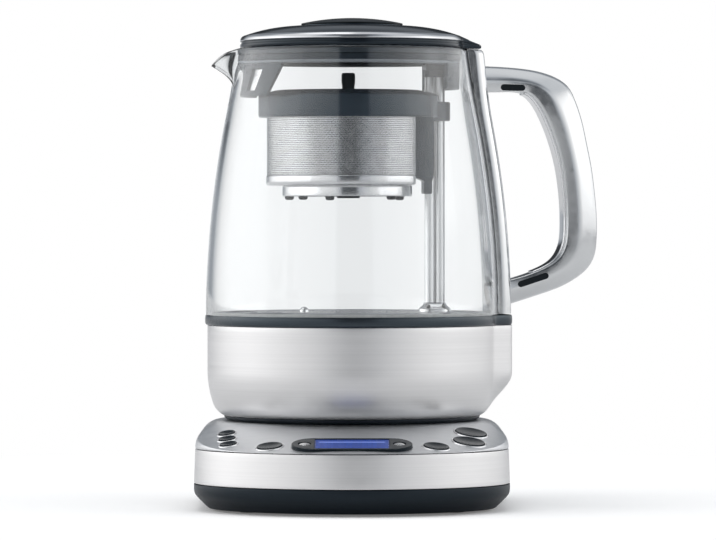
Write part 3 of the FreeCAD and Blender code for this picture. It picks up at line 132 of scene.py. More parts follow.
# ---------------------------------------------------------------- node trees
class Tree:
    """A node tree with short calls to add and join nodes."""

    def __init__(self, tree: bpy.types.NodeTree) -> None:
        """Wrap a tree and empty it."""
        self.tree = tree
        tree.nodes.clear()

    def feed(self, node: bpy.types.Node, values: dict) -> bpy.types.Node:
        """Give a node's inputs, by name or number, a link from a socket or a plain value.

        Args:
            node: The node.
            values: Socket or value by input name or number.

        Returns:
            The same node.
        """
        for key, value in values.items():
            if isinstance(value, Socket):
                self.tree.links.new(value, node.inputs[key])
            else:
                node.inputs[key].default_value = value
        return node

    def add(self, kind: str, inputs: dict | None = None, **settings: object) -> bpy.types.Node:
        """Add a node.

        Args:
            kind: Node type without its ShaderNode prefix.
            inputs: Values or sockets by input name or number.
            settings: Attributes of the node.

        Returns:
            The new node.
        """
        node = self.tree.nodes.new(kind if kind.startswith("NodeGroup") else "ShaderNode" + kind)
        for key, value in settings.items():
            setattr(node, key, value)
        return self.feed(node, inputs or {})

    def math(self, operation: str, *values: float | Socket) -> Socket:
        """Result of a Math node on up to three values or sockets."""
        return self.add("Math", dict(enumerate(values)), operation=operation).outputs[0]

    def vector(self, operation: str, *values: tuple | Socket) -> bpy.types.Node:
        """A Vector Math node on up to two vectors."""
        return self.add("VectorMath", dict(enumerate(values)), operation=operation)

    def noise(self, vector: Socket, scale: float | Socket, detail: float = 2.0) -> Socket:
        """Value of a noise texture at a vector."""
        inputs = {"Vector": vector, "Scale": scale, "Detail": detail}
        return self.add("TexNoise", inputs).outputs[0]

    def remap(self, value: Socket, low: float, high: float, to_low: float = 0.0,
              to_high: float = 1.0) -> Socket:
        """Value brought from one range to another, clamped."""
        inputs = {0: value, 1: low, 2: high, 3: to_low, 4: to_high}
        return self.add("MapRange", inputs).outputs[0]

    def mix(self, factor: float | Socket, a: object, b: object) -> Socket:
        """Two colours mixed by a factor."""
        return self.add("Mix", {0: factor, 6: a, 7: b}, data_type="RGBA").outputs[2]

    def place(self, fill: "Fill", value: float | tuple) -> bpy.types.Node:
        """Place the group that fill draws on object coordinates, with a value of its own."""
        inputs = {"Vector": self.spot(), GROUP_VALUES[fill][0]: value}
        return self.add("Group", inputs, node_tree=shared_group(fill))

    def mask(self, fill: "Fill", value: float) -> Socket:
        """Mask of a placed group."""
        return self.place(fill, value).outputs["Mask"]

    def spot(self) -> Socket:
        """Object coordinates, which are metres in the frame of the whole machine."""
        return self.add("TexCoord").outputs["Object"]


Fill = Callable[[Tree, bpy.types.Node], dict[str, Socket]]


def shared_group(fill: Fill) -> bpy.types.NodeTree:
    """Make a node group once and hand it out afterwards.

    Args:
        fill: Function that adds the nodes and returns a socket for each output.

    Returns:
        The group's tree.
    """
    found = bpy.data.node_groups.get(fill.__name__)
    if found:
        return found
    group = bpy.data.node_groups.new(fill.__name__, "ShaderNodeTree")
    for label, value in (("Vector", (0.0, 0.0, 0.0)), GROUP_VALUES[fill]):
        kind = "NodeSocketVector" if isinstance(value, tuple) else "NodeSocketFloat"
        entry = group.interface.new_socket(name=label, in_out="INPUT", socket_type=kind)
        entry.default_value = value
    tree = Tree(group)
    made = fill(tree, tree.add("NodeGroupInput"))
    for label in made:
        group.interface.new_socket(name=label, in_out="OUTPUT", socket_type="NodeSocketFloat")
    tree.feed(tree.add("NodeGroupOutput"), made)
    return group


def brushed_grain(tree: Tree, entry: bpy.types.Node) -> dict[str, Socket]:
    """Draw the fine parallel scratches of brushed metal, stretched along one way.

    Args:
        tree: Node tree to draw in.
        entry: The group's input node.

    Returns:
        Streak and height.
    """
    spread = tree.vector("MULTIPLY", entry.outputs["Vector"], entry.outputs["Stretch"]).outputs[0]
    fine, coarse = tree.noise(spread, 1.0, 3.0), tree.noise(spread, 0.23, 2.0)
    both = tree.math("ADD", tree.math("MULTIPLY", fine, 0.62), tree.math("MULTIPLY", coarse, 0.38))
    return {"Streak": tree.remap(both, 0.32, 0.68), "Height": both}


def handling_marks(tree: Tree, entry: bpy.types.Node) -> dict[str, Socket]:
    """Draw the faint clouding that hands and cleaning leave on a smooth surface.

    Args:
        tree: Node tree to draw in.
        entry: The group's input node.

    Returns:
        The mask.
    """
    vector, scale = entry.outputs["Vector"], entry.outputs["Scale"]
    large = tree.noise(vector, scale, 3.0)
    small = tree.noise(vector, tree.math("MULTIPLY", scale, 7.0), 2.0)
    both = tree.math("ADD", tree.math("MULTIPLY", large, 0.7), tree.math("MULTIPLY", small, 0.3))
    return {"Mask": tree.remap(both, 0.38, 0.66)}


def edge_wear(tree: Tree, entry: bpy.types.Node) -> dict[str, Socket]:
    """Draw the mask of rubbed outer edges, broken up by noise.

    Args:
        tree: Node tree to draw in.
        entry: The group's input node.

    Returns:
        The mask.
    """
    edge = tree.remap(tree.add("NewGeometry").outputs["Pointiness"], 0.53, 0.62)
    rough = tree.noise(entry.outputs["Vector"], 260.0, 3.0)
    broken = tree.math("MULTIPLY", edge, tree.remap(rough, 0.4, 0.6, 0.2, 1.0))
    return {"Mask": tree.math("MULTIPLY", broken, entry.outputs["Amount"])}


def settled_dust(tree: Tree, entry: bpy.types.Node) -> dict[str, Socket]:
    """Draw the mask of a thin dust film on faces that look up.

    Args:
        tree: Node tree to draw in.
        entry: The group's input node.

    Returns:
        The mask.
    """
    upward = tree.add("SeparateXYZ", {0: tree.add("NewGeometry").outputs["Normal"]}).outputs[2]
    cloud = tree.noise(entry.outputs["Vector"], 45.0, 4.0)
    film = tree.math("MULTIPLY", tree.remap(upward, 0.4, 1.0),
                     tree.remap(cloud, 0.35, 0.7, 0.25, 1.0))
    return {"Mask": tree.math("MULTIPLY", film, entry.outputs["Amount"])}


GROUP_VALUES: dict[Fill, tuple[str, float | tuple]] = {
    brushed_grain: ("Stretch", (1.0, 1.0, 1.0)), handling_marks: ("Scale", 30.0),
    edge_wear: ("Amount", 0.3), settled_dust: ("Amount", 0.1),
}


# ---------------------------------------------------------------- finishes
@dataclass(frozen=True)
class Finish:
    """A surface finish that makes its material once."""

    name: str
    tint: tuple[float, float, float]
    roughness: float

    def material(self) -> bpy.types.Material:
        """The finish's material, built on first use.

        Returns:
            The material.
        """
        found = bpy.data.materials.get(self.name)
        if found:
            return found
        made = bpy.data.materials.new(self.name)
        made.use_nodes = True
        made.diffuse_color = self.shade(1.0)
        tree = Tree(made.node_tree)
        out = tree.add("OutputMaterial")
        shader = tree.add("BsdfPrincipled", {"Roughness": self.roughness,
                                             "Base Color": self.shade(1.0)})
        tree.feed(out, {0: shader.outputs[0]})
        self.dress(tree, shader)
        return made

    def dress(self, tree: Tree, shader: bpy.types.Node) -> None:
        """Add what this finish has beyond plain colour and roughness."""

    def shade(self, factor: float) -> tuple[float, float, float, float]:
        """The tint scaled in brightness, with alpha."""
        return (*(min(c * factor, 1.0) for c in self.tint), 1.0)

    def rougher(self, tree: Tree, mask: Socket, less: float, more: float) -> Socket:
        """Roughness that goes from less below to more above the finish's own over a mask."""
        return tree.remap(mask, 0.0, 1.0, self.roughness - less, self.roughness + more)

    def bump(self, tree: Tree, shader: bpy.types.Node, height: Socket, strength: float,
             distance: float) -> None:
        """Feed the shader's normal from a height."""
        node = tree.add("Bump", {"Height": height, "Strength": strength, "Distance": distance})
        tree.feed(shader, {"Normal": node.outputs[0]})


@dataclass(frozen=True)
class BrushedMetal(Finish):
    """Steel brushed one way; stretch is the grain's frequency along each axis."""

    stretch: tuple[float, float, float] = (7.0, 7.0, 1500.0)
    depth: float = 0.10
    contrast: float = 0.09

    def dress(self, tree: Tree, shader: bpy.types.Node) -> None:
        """Streaks in tone, roughness and relief, with faint handling marks.

        Args:
            tree: Node tree to draw in.
            shader: The shader node to set.
        """
        grain = tree.place(brushed_grain, self.stretch)
        streak = grain.outputs["Streak"]
        tone = tree.mix(streak, self.shade(1.0 - self.contrast), self.shade(1.0 + self.contrast))
        tone = tree.mix(tree.mask(edge_wear, 0.35), tone, (0.92, 0.92, 0.92, 1.0))
        rough = tree.math("ADD", self.rougher(tree, streak, 0.05, 0.06),
                          tree.math("MULTIPLY", tree.mask(handling_marks, 18.0), 0.035))
        tree.feed(shader, {"Base Color": tone, "Roughness": rough, "Metallic": 1.0})
        self.bump(tree, shader, grain.outputs["Height"], self.depth, 0.0002)


@dataclass(frozen=True)
class PolishedMetal(Finish):
    """Bright metal with a soft satin polish and faint marks."""

    ripple: float = 0.02

    def dress(self, tree: Tree, shader: bpy.types.Node) -> None:
        """Slight clouding, a trace of wear and an almost flat ripple.

        Args:
            tree: Node tree to draw in.
            shader: The shader node to set.
        """
        marks = tree.mask(handling_marks, 24.0)
        tone = tree.mix(marks, self.shade(1.02), self.shade(0.95))
        tone = tree.mix(tree.mask(edge_wear, 0.25), tone, (0.95, 0.95, 0.95, 1.0))
        tree.feed(shader, {"Base Color": tone, "Roughness": self.rougher(tree, marks, 0.0, 0.05),
                           "Metallic": 1.0})
        self.bump(tree, shader, tree.noise(tree.spot(), 320.0, 2.0), self.ripple, 0.0003)


@dataclass(frozen=True)
class Moulded(Finish):
    """Moulded plastic or rubber with a fine texture, worn edges and a film of dust."""

    texture: float = 2600.0
    depth: float = 0.04
    coat: float = 0.0
    dust: float = 0.0
    shine: float = 0.5

    def dress(self, tree: Tree, shader: bpy.types.Node) -> None:
        """Fine moulding texture, tone clouds, light edges and dust.

        Args:
            tree: Node tree to draw in.
            shader: The shader node to set.
        """
        marks, dust = tree.mask(handling_marks, 26.0), tree.mask(settled_dust, self.dust)
        tone = tree.mix(marks, self.shade(1.0), self.shade(1.16))
        tone = tree.mix(tree.mask(edge_wear, 0.3), tone, self.shade(2.2))
        tone = tree.mix(dust, tone, (0.55, 0.55, 0.53, 1.0))
        rough = tree.math("ADD", self.rougher(tree, marks, 0.02, 0.06),
                          tree.math("MULTIPLY", dust, 0.4))
        tree.feed(shader, {"Base Color": tone, "Roughness": rough,
                           "Specular IOR Level": self.shine,
                           "Specular Tint": (0.72, 0.88, 1.0, 1.0),
                           "Coat Weight": self.coat, "Coat Roughness": 0.05})
        self.bump(tree, shader, tree.noise(tree.spot(), self.texture, 2.0), self.depth, 0.0001)


@dataclass(frozen=True)
class ClearGlass(Finish):
    """Clear glass that lets lamp light through."""

    ior: float = 1.47

    def dress(self, tree: Tree, shader: bpy.types.Node) -> None:
        """Full transmission; light from lamps passes straight on with a slight loss.

        Args:
            tree: Node tree to draw in.
            shader: The shader node to set.
        """
        rough = self.rougher(tree, tree.mask(handling_marks, 14.0), 0.0, 0.012)
        tree.feed(shader, {"Roughness": rough, "Transmission Weight": 1.0, "IOR": self.ior})
        out = next(n for n in tree.tree.nodes if n.type == "OUTPUT_MATERIAL")
        clear = tree.add("BsdfTransparent", {"Color": (0.90, 0.92, 0.92, 1.0)})
        shadow = tree.add("LightPath").outputs["Is Shadow Ray"]
        blend = tree.add("MixShader", {0: shadow, 1: shader.outputs[0], 2: clear.outputs[0]})
        tree.feed(out, {0: blend.outputs[0]})


@dataclass(frozen=True)
class LitWindow(Finish):
    """Blue display window, lit from behind through fine segments of shade."""

    glow: float = 0.35
    # Height of the painted reflection line across the window, in metres.
    glint_line_y: float = -0.1045

    def dress(self, tree: Tree, shader: bpy.types.Node) -> None:
        """Glow, with a painted reflection as a thin lighter line near the top, under a glossy lens.

        Args:
            tree: Node tree to draw in.
            shader: The shader node to set.
        """
        grain = tree.vector("MULTIPLY", tree.spot(), (900.0, 60.0, 60.0)).outputs[0]
        cells = tree.remap(tree.noise(grain, 1.0, 1.0), 0.3, 0.7)
        tone = tree.mix(cells, self.shade(0.9), self.shade(1.15))
        place = tree.add("SeparateXYZ", {0: tree.spot()})
        # Painted reflection: a thin lighter line across the window stands in for a glint on the
        # lens, and it glows with the rest.
        off = tree.math("ABSOLUTE", tree.math("SUBTRACT", place.outputs[1], self.glint_line_y))
        ends = tree.remap(tree.math("ABSOLUTE", place.outputs[0]), 0.0165, 0.0175, 1.0, 0.0)
        line = tree.math("MULTIPLY", tree.remap(off, 0.0005, 0.0009, 1.0, 0.0), ends)
        tone = tree.mix(line, tone, (0.16, 0.24, 0.66, 1.0))
        rough = self.rougher(tree, tree.mask(handling_marks, 60.0), 0.0, 0.08)
        tree.feed(shader, {"Base Color": tone, "Emission Color": tone, "Roughness": rough,
                           "Emission Strength": self.glow, "Specular IOR Level": 0.15})


@dataclass(frozen=True)
class CircuitBoard(Finish):
    """Solder-masked board with lighter tracks and bright pads."""

    def dress(self, tree: Tree, shader: bpy.types.Node) -> None:
        """Square tracks and pads from cells.

        Args:
            tree: Node tree to draw in.
            shader: The shader node to set.
        """
        cells = tree.add("TexVoronoi", {"Vector": tree.spot(), "Scale": 190.0},
                         distance="CHEBYCHEV").outputs["Distance"]
        track, pad = tree.remap(cells, 0.30, 0.34), tree.remap(cells, 0.07, 0.09, 1.0, 0.0)
        tone = tree.mix(track, self.shade(1.0), self.shade(1.8))
        tone = tree.mix(pad, tone, (0.75, 0.72, 0.62, 1.0))
        tree.feed(shader, {"Base Color": tone, "Metallic": pad})
        self.bump(tree, shader, track, 0.15, 0.0001)


STEEL_ROUND = BrushedMetal("steel_brushed_round", (0.725, 0.72, 0.722), 0.38, depth=0.05,
                           contrast=0.04)
STEEL_PANEL = BrushedMetal("steel_brushed_panel", (0.69, 0.70, 0.715), 0.38,
                           stretch=(7.0, 1300.0, 1300.0), depth=0.05, contrast=0.05)
STEEL_CUP = PolishedMetal("steel_cup_bright", (0.72, 0.72, 0.725), 0.14)
STEEL_SHEET = PolishedMetal("steel_holed_sheet", (0.62, 0.625, 0.63), 0.20)
# Bright polished metal for the band that paints the highlight on the lid's rounded rim.
LID_HIGHLIGHT = PolishedMetal("lid_painted_highlight", (0.60, 0.61, 0.63), 0.12)
STEEL_SATIN = BrushedMetal("steel_satin_handle", (0.67, 0.68, 0.69), 0.15,
                           stretch=(260.0, 260.0, 260.0), depth=0.02, contrast=0.02)
# Near-black brushed finish for the liner inside the cup: painted shade that darkens what is seen
# through the holes.
SHADE_LINER = BrushedMetal("painted_shade_liner", (0.06, 0.065, 0.07), 0.50,
                     stretch=(900.0, 900.0, 900.0), depth=0.2, contrast=0.5)
STEEL_FLOOR = BrushedMetal("steel_floor", (0.74, 0.74, 0.745), 0.20,
                           stretch=(60.0, 900.0, 60.0), depth=0.05)
STEEL_TUBE = PolishedMetal("steel_tube_light", (0.86, 0.865, 0.87), 0.34)
STEEL_PLAIN = PolishedMetal("steel_plain", (0.55, 0.55, 0.56), 0.30)
CHROME = PolishedMetal("chrome_bright", (0.84, 0.84, 0.85), 0.06)
NICKEL = PolishedMetal("magnet_nickel", (0.55, 0.55, 0.56), 0.18)
BRASS = PolishedMetal("contact_brass", (0.74, 0.55, 0.25), 0.24)
TRAY_BLACK = Moulded("tray_black", (0.004, 0.0065, 0.010), 0.36, depth=0.05, shine=0.3)
COLLAR_BLACK = Moulded("collar_charcoal", (0.012, 0.015, 0.019), 0.22, depth=0.02, shine=0.7)
SLATE = Moulded("slate_gloss", (0.020, 0.030, 0.042), 0.20, depth=0.003, shine=0.45)
SLATE_LID = Moulded("slate_lid_gloss", (0.005, 0.008, 0.012), 0.13, coat=0.1, depth=0.012,
                    shine=0.36)
SMOKED = Moulded("smoked_skirt", (0.013, 0.020, 0.028), 0.22, depth=0.006, shine=0.27)
SMOKED_PLATE = Moulded("smoked_plate", (0.26, 0.28, 0.31), 0.6, depth=0.006, shine=0.15)
KNOB_BLACK = Moulded("knob_soft_black", (0.003, 0.0035, 0.004), 0.36, depth=0.02, shine=0.3)
KEY_SLATE = Moulded("key_slate", (0.005, 0.008, 0.011), 0.20, depth=0.008, shine=0.16)
RUBBER = Moulded("rubber_black", (0.010, 0.010, 0.011), 0.62, texture=1800.0, depth=0.16, dust=0.10)
SILICONE = Moulded("silicone_clear_grey", (0.60, 0.60, 0.59), 0.45, depth=0.05)
SEAL_DARK = Moulded("seal_smoke_grey", (0.020, 0.026, 0.032), 0.35, depth=0.05)
NYLON = Moulded("nylon_white", (0.74, 0.74, 0.71), 0.42, depth=0.05, dust=0.02)
GLASS = ClearGlass("jug_glass", (0.935, 0.945, 0.95), 0.0)
WINDOW = LitWindow("display_blue", (0.006, 0.034, 0.22), 0.20, glow=0.35)
WINDOW_EDGE = LitWindow("display_blue_edge", (0.05, 0.07, 0.22), 0.25, glow=0.15)
BOARD = CircuitBoard("circuit_green", (0.02, 0.13, 0.06), 0.35)


# ---------------------------------------------------------------- forms
@dataclass
class Form:
    """A bmesh in millimetres that grows into one piece.

    An outline is drawn with start, line and arc; then it is turned, raised or bridged.
    """

    plane: Plane = Plane.SIDE
    height: float = 0.0
    bm: bmesh.types.BMesh = field(default_factory=bmesh.new)
    corners: list[tuple[bmesh.types.BMVert, float]] = field(default_factory=list)
    first: bmesh.types.BMVert | None = None
    tip: bmesh.types.BMVert | None = None

    def spot(self, a: float, b: float) -> Vector:
        """Place of an outline point in space.

        Args:
            a: First coordinate.
            b: Second coordinate.

        Returns:
            The place as a vector.
        """
        if self.plane is Plane.SIDE:
            return Vector((a, 0.0, b))
        return Vector((a, b, self.height))

    def start(self, a: float, b: float, soft: float = 0.0) -> "Form":
        """Begin an outline; soft rounds this corner once the outline is closed.

        Args:
            a: First coordinate.
            b: Second coordinate.
            soft: Radius of the corner.

        Returns:
            This form.
        """
        self.first = self.tip = self.bm.verts.new(self.spot(a, b))
        if soft:
            self.corners.append((self.tip, soft))
        return self

    def line(self, a: float, b: float, soft: float = 0.0) -> "Form":
        """Go straight to a point, whose corner may be rounded.

        Args:
            a: First coordinate.
            b: Second coordinate.
            soft: Radius of the corner.

        Returns:
            This form.
        """
        vert = self.bm.verts.new(self.spot(a, b))
        self.bm.edges.new((self.tip, vert))
        self.tip = vert
        if soft:
            self.corners.append((vert, soft))
        return self

    def arc(self, a: float, b: float, radius: float, left: bool = True, steps: int = 8) -> "Form":
        """Go to a point on an arc whose centre lies left or right of the way.

        Args:
            a: First coordinate of the end.
            b: Second coordinate of the end.
            radius: Radius of the arc.
            left: True if the centre is on the left.
            steps: Edges along the arc.

        Returns:
            The form itself.
        """
        begin, end = self.tip.co.copy(), self.spot(a, b)
        chord = end - begin
        axis = Vector((0.0, -1.0, 0.0)) if self.plane is Plane.SIDE else UP.copy()
        to_left = axis.cross(chord).normalized()
        offset = math.sqrt(max(radius ** 2 - (chord.length / 2.0) ** 2, 0.0))
        side = 1.0 if left else -1.0
        centre = (begin + end) / 2.0 + to_left * offset * side
        angle = 2.0 * math.asin(min(chord.length / 2.0 / radius, 1.0))
        swept = bmesh.ops.spin(self.bm, geom=[self.tip], cent=centre, axis=axis * side, angle=angle,
                               steps=steps, use_merge=False, use_duplicate=False)
        self.tip = next(g for g in swept["geom_last"] if isinstance(g, bmesh.types.BMVert))
        return self

    def close(self, segments: int = 3) -> "Form":
        """Join the tip to the first point and round the marked corners.

        Args:
            segments: Steps in each rounded corner.

        Returns:
            This form.
        """
        if (self.tip.co - self.first.co).length < MERGE:
            bmesh.ops.pointmerge(self.bm, verts=[self.first, self.tip], merge_co=self.first.co)
        else:
            self.bm.edges.new((self.tip, self.first))
        return self.soften(segments)

    def soften(self, segments: int = 3) -> "Form":
        """Round the marked corners of the outline.

        Args:
            segments: Steps in each rounded corner.

        Returns:
            This form.
        """
        for vert, radius in self.corners:
            bmesh.ops.bevel(self.bm, geom=[vert], offset=radius, offset_type="OFFSET",
                            segments=segments, profile=0.5, affect="VERTICES", material=-1)
        self.corners = []
        return self

    def turned(self, steps: int = 128, span: float = 360.0, towards: float = AIM,
               centre: Point = (0.0, 0.0)) -> "Form":
        """Turn the side outline about the upright axis.

        Args:
            steps: Facets round the turn.
            span: Angle turned, in degrees; less than 360 leaves a slice with closed ends.
            towards: Direction of the slice's middle.
            centre: Plan place of the axis along that direction and across it.

        Returns:
            The form itself.
        """
        whole = span >= 360.0
        geom = self.bm.verts[:] + self.bm.edges[:]
        if not whole:
            bmesh.ops.rotate(self.bm, cent=(0, 0, 0), verts=self.bm.verts,
                             matrix=Matrix.Rotation(-math.radians(span) / 2.0, 3, "Z"))
        bmesh.ops.spin(self.bm, geom=geom, cent=(0, 0, 0), axis=(0, 0, 1), angle=math.radians(span),
                       steps=steps, use_merge=whole, use_duplicate=False)
        bmesh.ops.remove_doubles(self.bm, verts=self.bm.verts, dist=MERGE)
        if not whole:
            self.fill()
        self.move(centre[0], centre[1], 0.0)
        bmesh.ops.rotate(self.bm, cent=(0, 0, 0), verts=self.bm.verts,
                         matrix=Matrix.Rotation(towards, 3, "Z"))
        return self.tidy()

    def fill(self) -> "Form":
        """Close every open border with a face.

        Returns:
            This form.
        """
        border = [e for e in self.bm.edges if e.is_boundary]
        bmesh.ops.holes_fill(self.bm, edges=border, sides=0)
        return self

    def raised(self, height: float) -> "Form":
        """Give a plan outline an upright wall of that height, closed at both ends.

        Args:
            height: Height in millimetres.

        Returns:
            This form.
        """
        loop = self.bm.edges[:]
        grown = bmesh.ops.extrude_edge_only(self.bm, edges=loop)["geom"]
        verts = [g for g in grown if isinstance(g, bmesh.types.BMVert)]
        bmesh.ops.translate(self.bm, verts=verts, vec=(0, 0, height))
        return self.fill().tidy()

    def bridge(self, lower: Sequence[bmesh.types.BMEdge],
               upper: Sequence[bmesh.types.BMEdge]) -> None:
        """Skin between two loops."""
        bmesh.ops.bridge_loops(self.bm, edges=[*lower, *upper])

    def stack(self, draw: Callable[["Form", float, float], None],
              levels: Sequence[Point]) -> list[list[bmesh.types.BMEdge]]:
        """Draw a closed plan outline at several insets and heights and skin between them.

        Args:
            draw: Function that draws the outline at an inset; its height is the form's.
            levels: Inset and height of each outline, in order.

        Returns:
            Edges of each outline.
        """
        self.plane = Plane.PLAN
        loops = []
        for inset, height in levels:
            known = set(self.bm.edges)
            self.height = height
            draw(self, inset, height)
            loops.append([e for e in self.bm.edges if e not in known])
        for lower, upper in zip(loops, loops[1:]):
            self.bridge(lower, upper)
        return loops

    def bevelled(self, pick: Callable[[bmesh.types.BMEdge], bool], width: float,
                 segments: int = 3) -> "Form":
        """Round the edges that pick chooses.

        Args:
            pick: Test that an edge is to be rounded.
            width: Width of the rounding.
            segments: Steps in each rounded corner.

        Returns:
            This form.
        """
        chosen = [e for e in self.bm.edges if pick(e)]
        bmesh.ops.bevel(self.bm, geom=chosen, offset=width, offset_type="OFFSET", segments=segments,
                        profile=0.5, affect="EDGES", material=-1, clamp_overlap=True)
        return self

    def move(self, x: float, y: float, z: float) -> "Form":
        """Shift everything."""
        bmesh.ops.translate(self.bm, verts=self.bm.verts, vec=(x, y, z))
        return self

    def stand(self, matrix: Matrix) -> "Form":
        """Place everything by a matrix."""
        bmesh.ops.transform(self.bm, matrix=matrix, verts=self.bm.verts)
        return self

    def bend(self, shape: Callable[[Vector], Vector]) -> "Form":
        """Move each vertex to where shape puts it.

        Args:
            shape: Function from a vertex's place to its new place.

        Returns:
            This form.
        """
        for vert in self.bm.verts:
            vert.co = shape(vert.co)
        return self

    def tidy(self) -> "Form":
        """Make the faces point outwards."""
        bmesh.ops.recalc_face_normals(self.bm, faces=self.bm.faces)
        return self

    def join(self, other: "Form") -> "Form":
        """Take in another form's mesh, which is then gone.

        Args:
            other: The form to take in.

        Returns:
            This form.
        """
        scratch = bpy.data.meshes.new("scratch")
        other.bm.to_mesh(scratch)
        other.bm.free()
        self.bm.from_mesh(scratch)
        bpy.data.meshes.remove(scratch)
        return self

    def mesh(self, name: str) -> bpy.types.Mesh:
        """The finished mesh in metres.

        Args:
            name: Name of the mesh.

        Returns:
            The mesh.
        """
        bmesh.ops.scale(self.bm, vec=(MM, MM, MM), verts=self.bm.verts)
        mesh = bpy.data.meshes.new(name)
        self.bm.to_mesh(mesh)
        self.bm.free()
        return mesh


def rod(radius: float, low: float, high: float, soft: float = 0.3, steps: int = 32,
        centre: Point = (0.0, 0.0), towards: float = AIM) -> Form:
    """An upright round bar with softened ends."""
    form = Form().start(0.0, low).line(radius, low, soft).line(radius, high, soft).line(0.0, high)
    return form.soften(2).turned(steps, centre=centre, towards=towards)


def ring(inner: float, outer: float, low: float, high: float, soft: float, steps: int,
         segments: int = 3) -> Form:
    """A turned ring with softened corners."""
    form = Form().start(inner, low, soft).line(outer, low, soft).line(outer, high, soft)
    return form.line(inner, high, soft).close(segments).turned(steps)


def stadium(form: Form, half_width: float, half_depth: float, steps: int = 10) -> None:
    """Draw a plan outline with straight long sides and round ends.

    Args:
        form: Form to draw in.
        half_width: Half of the length along X.
        half_depth: Half of the width along Y.
        steps: Steps in each half circle.
    """
    run = half_width - half_depth
    form.start(-run, -half_depth).line(run, -half_depth)
    form.arc(half_width, 0.0, half_depth, steps=steps).arc(run, half_depth, half_depth, steps=steps)
    form.line(-run, half_depth)
    form.arc(-half_width, 0.0, half_depth, steps=steps)
    form.arc(-run, -half_depth, half_depth, steps=steps)
    form.close()


def pill(half_width: float, half_depth: float,
         steps: int = 12) -> Callable[[Form, float, float], None]:
    """Function that draws a stadium at an inset, for Form.stack."""
    return lambda form, inset, _: stadium(form, half_width - inset, half_depth - inset, steps)


# ---------------------------------------------------------------- finished pieces
@dataclass
class Assembly:
    """A sub-assembly that finishes pieces on one moving body."""

    body: Body = Body.BASE

    def finish(self, form: Form, name: str, look: Finish, nodes: Sequence[str] = (), slot: str = "",
               sharp: float = 38.0, subdivide: int = 0) -> bpy.types.Object:
        """Turn a form in millimetres into a piece; other arguments as for enter."""
        return self.enter(form.mesh(name), name, look, nodes, slot, sharp, subdivide)

    def enter(self, mesh: bpy.types.Mesh, name: str, look: Finish, nodes: Sequence[str],
              slot: str, sharp: float = 38.0, subdivide: int = 0) -> bpy.types.Object:
        """Enter a finished mesh as a piece that rides on this assembly's body.

        Args:
            mesh: The mesh, in metres.
            name: Name of the piece.
            look: Its finish.
            nodes: Solids that the piece stands for.
            slot: Not used.
            sharp: Angle from which an edge stays crisp, in degrees.
            subdivide: Levels of subdivision.

        Returns:
            The new object.
        """
        mesh.shade_smooth()
        if not subdivide:
            mesh.set_sharp_from_angle(angle=math.radians(sharp))
        piece = bpy.data.objects.new(name, mesh)
        bpy.context.scene.collection.objects.link(piece)
        mesh.materials.clear()
        mesh.materials.append(look.material())
        if subdivide:
            levels = piece.modifiers.new("finer", "SUBSURF")
            levels.levels = levels.render_levels = subdivide
        else:
            even = piece.modifiers.new("even_shading", "WEIGHTED_NORMAL")
            even.keep_sharp = True
        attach(piece, self.body.value)
        if nodes:
            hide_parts(*nodes)
        log.info("%s on %s: %d faces", name, self.body.value, len(mesh.polygons))
        return piece

    def carve(self, form: Form, cutters: Form, name: str) -> bpy.types.Mesh:
        """Take the cutters out of a form.

        Args:
            form: The closed form to cut.
            cutters: Closed forms to take away.
            name: Name of the mesh.

        Returns:
            The cut mesh, in metres.
        """
        block = bpy.data.objects.new(name + "_block", form.mesh(name + "_block"))
        tools = bpy.data.objects.new(name + "_tools", cutters.mesh(name + "_tools"))
        for item in (block, tools):
            bpy.context.scene.collection.objects.link(item)
        cut = block.modifiers.new("cut", "BOOLEAN")
        cut.object = tools
        cut.operation = "DIFFERENCE"
        cut.solver = "EXACT"
        graph = bpy.context.evaluated_depsgraph_get()
        mesh = bpy.data.meshes.new_from_object(block.evaluated_get(graph))
        mesh.name = name
        for item in (block, tools):
            bpy.data.objects.remove(item)
        return mesh

    def carved(self, form: Form, cutters: Form, name: str, look: Finish, nodes: Sequence[str],
               slot: str, sharp: float = 38.0) -> bpy.types.Object:
        """Enter a form with the cutters taken out; other arguments as for enter."""
        return self.enter(self.carve(form, cutters, name), name, look, nodes, slot, sharp)

    def dress_solids(self, looks: dict[str, Finish]) -> None:
        """Give carried-over solids their finishes.

        Args:
            looks: Finish by name of the solid.
        """
        for node, look in looks.items():
            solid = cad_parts[node]
            if not solid.data.materials:
                solid.data.materials.append(None)
            for place in solid.material_slots:
                place.material = look.material()


# ---------------------------------------------------------------- power base
@dataclass
class Key:
    """One push button: node name, plan place, cap radius, and whether it is a bright dome."""

    node: str
    x: float
    y: float
    radius: float
    domed: bool = False


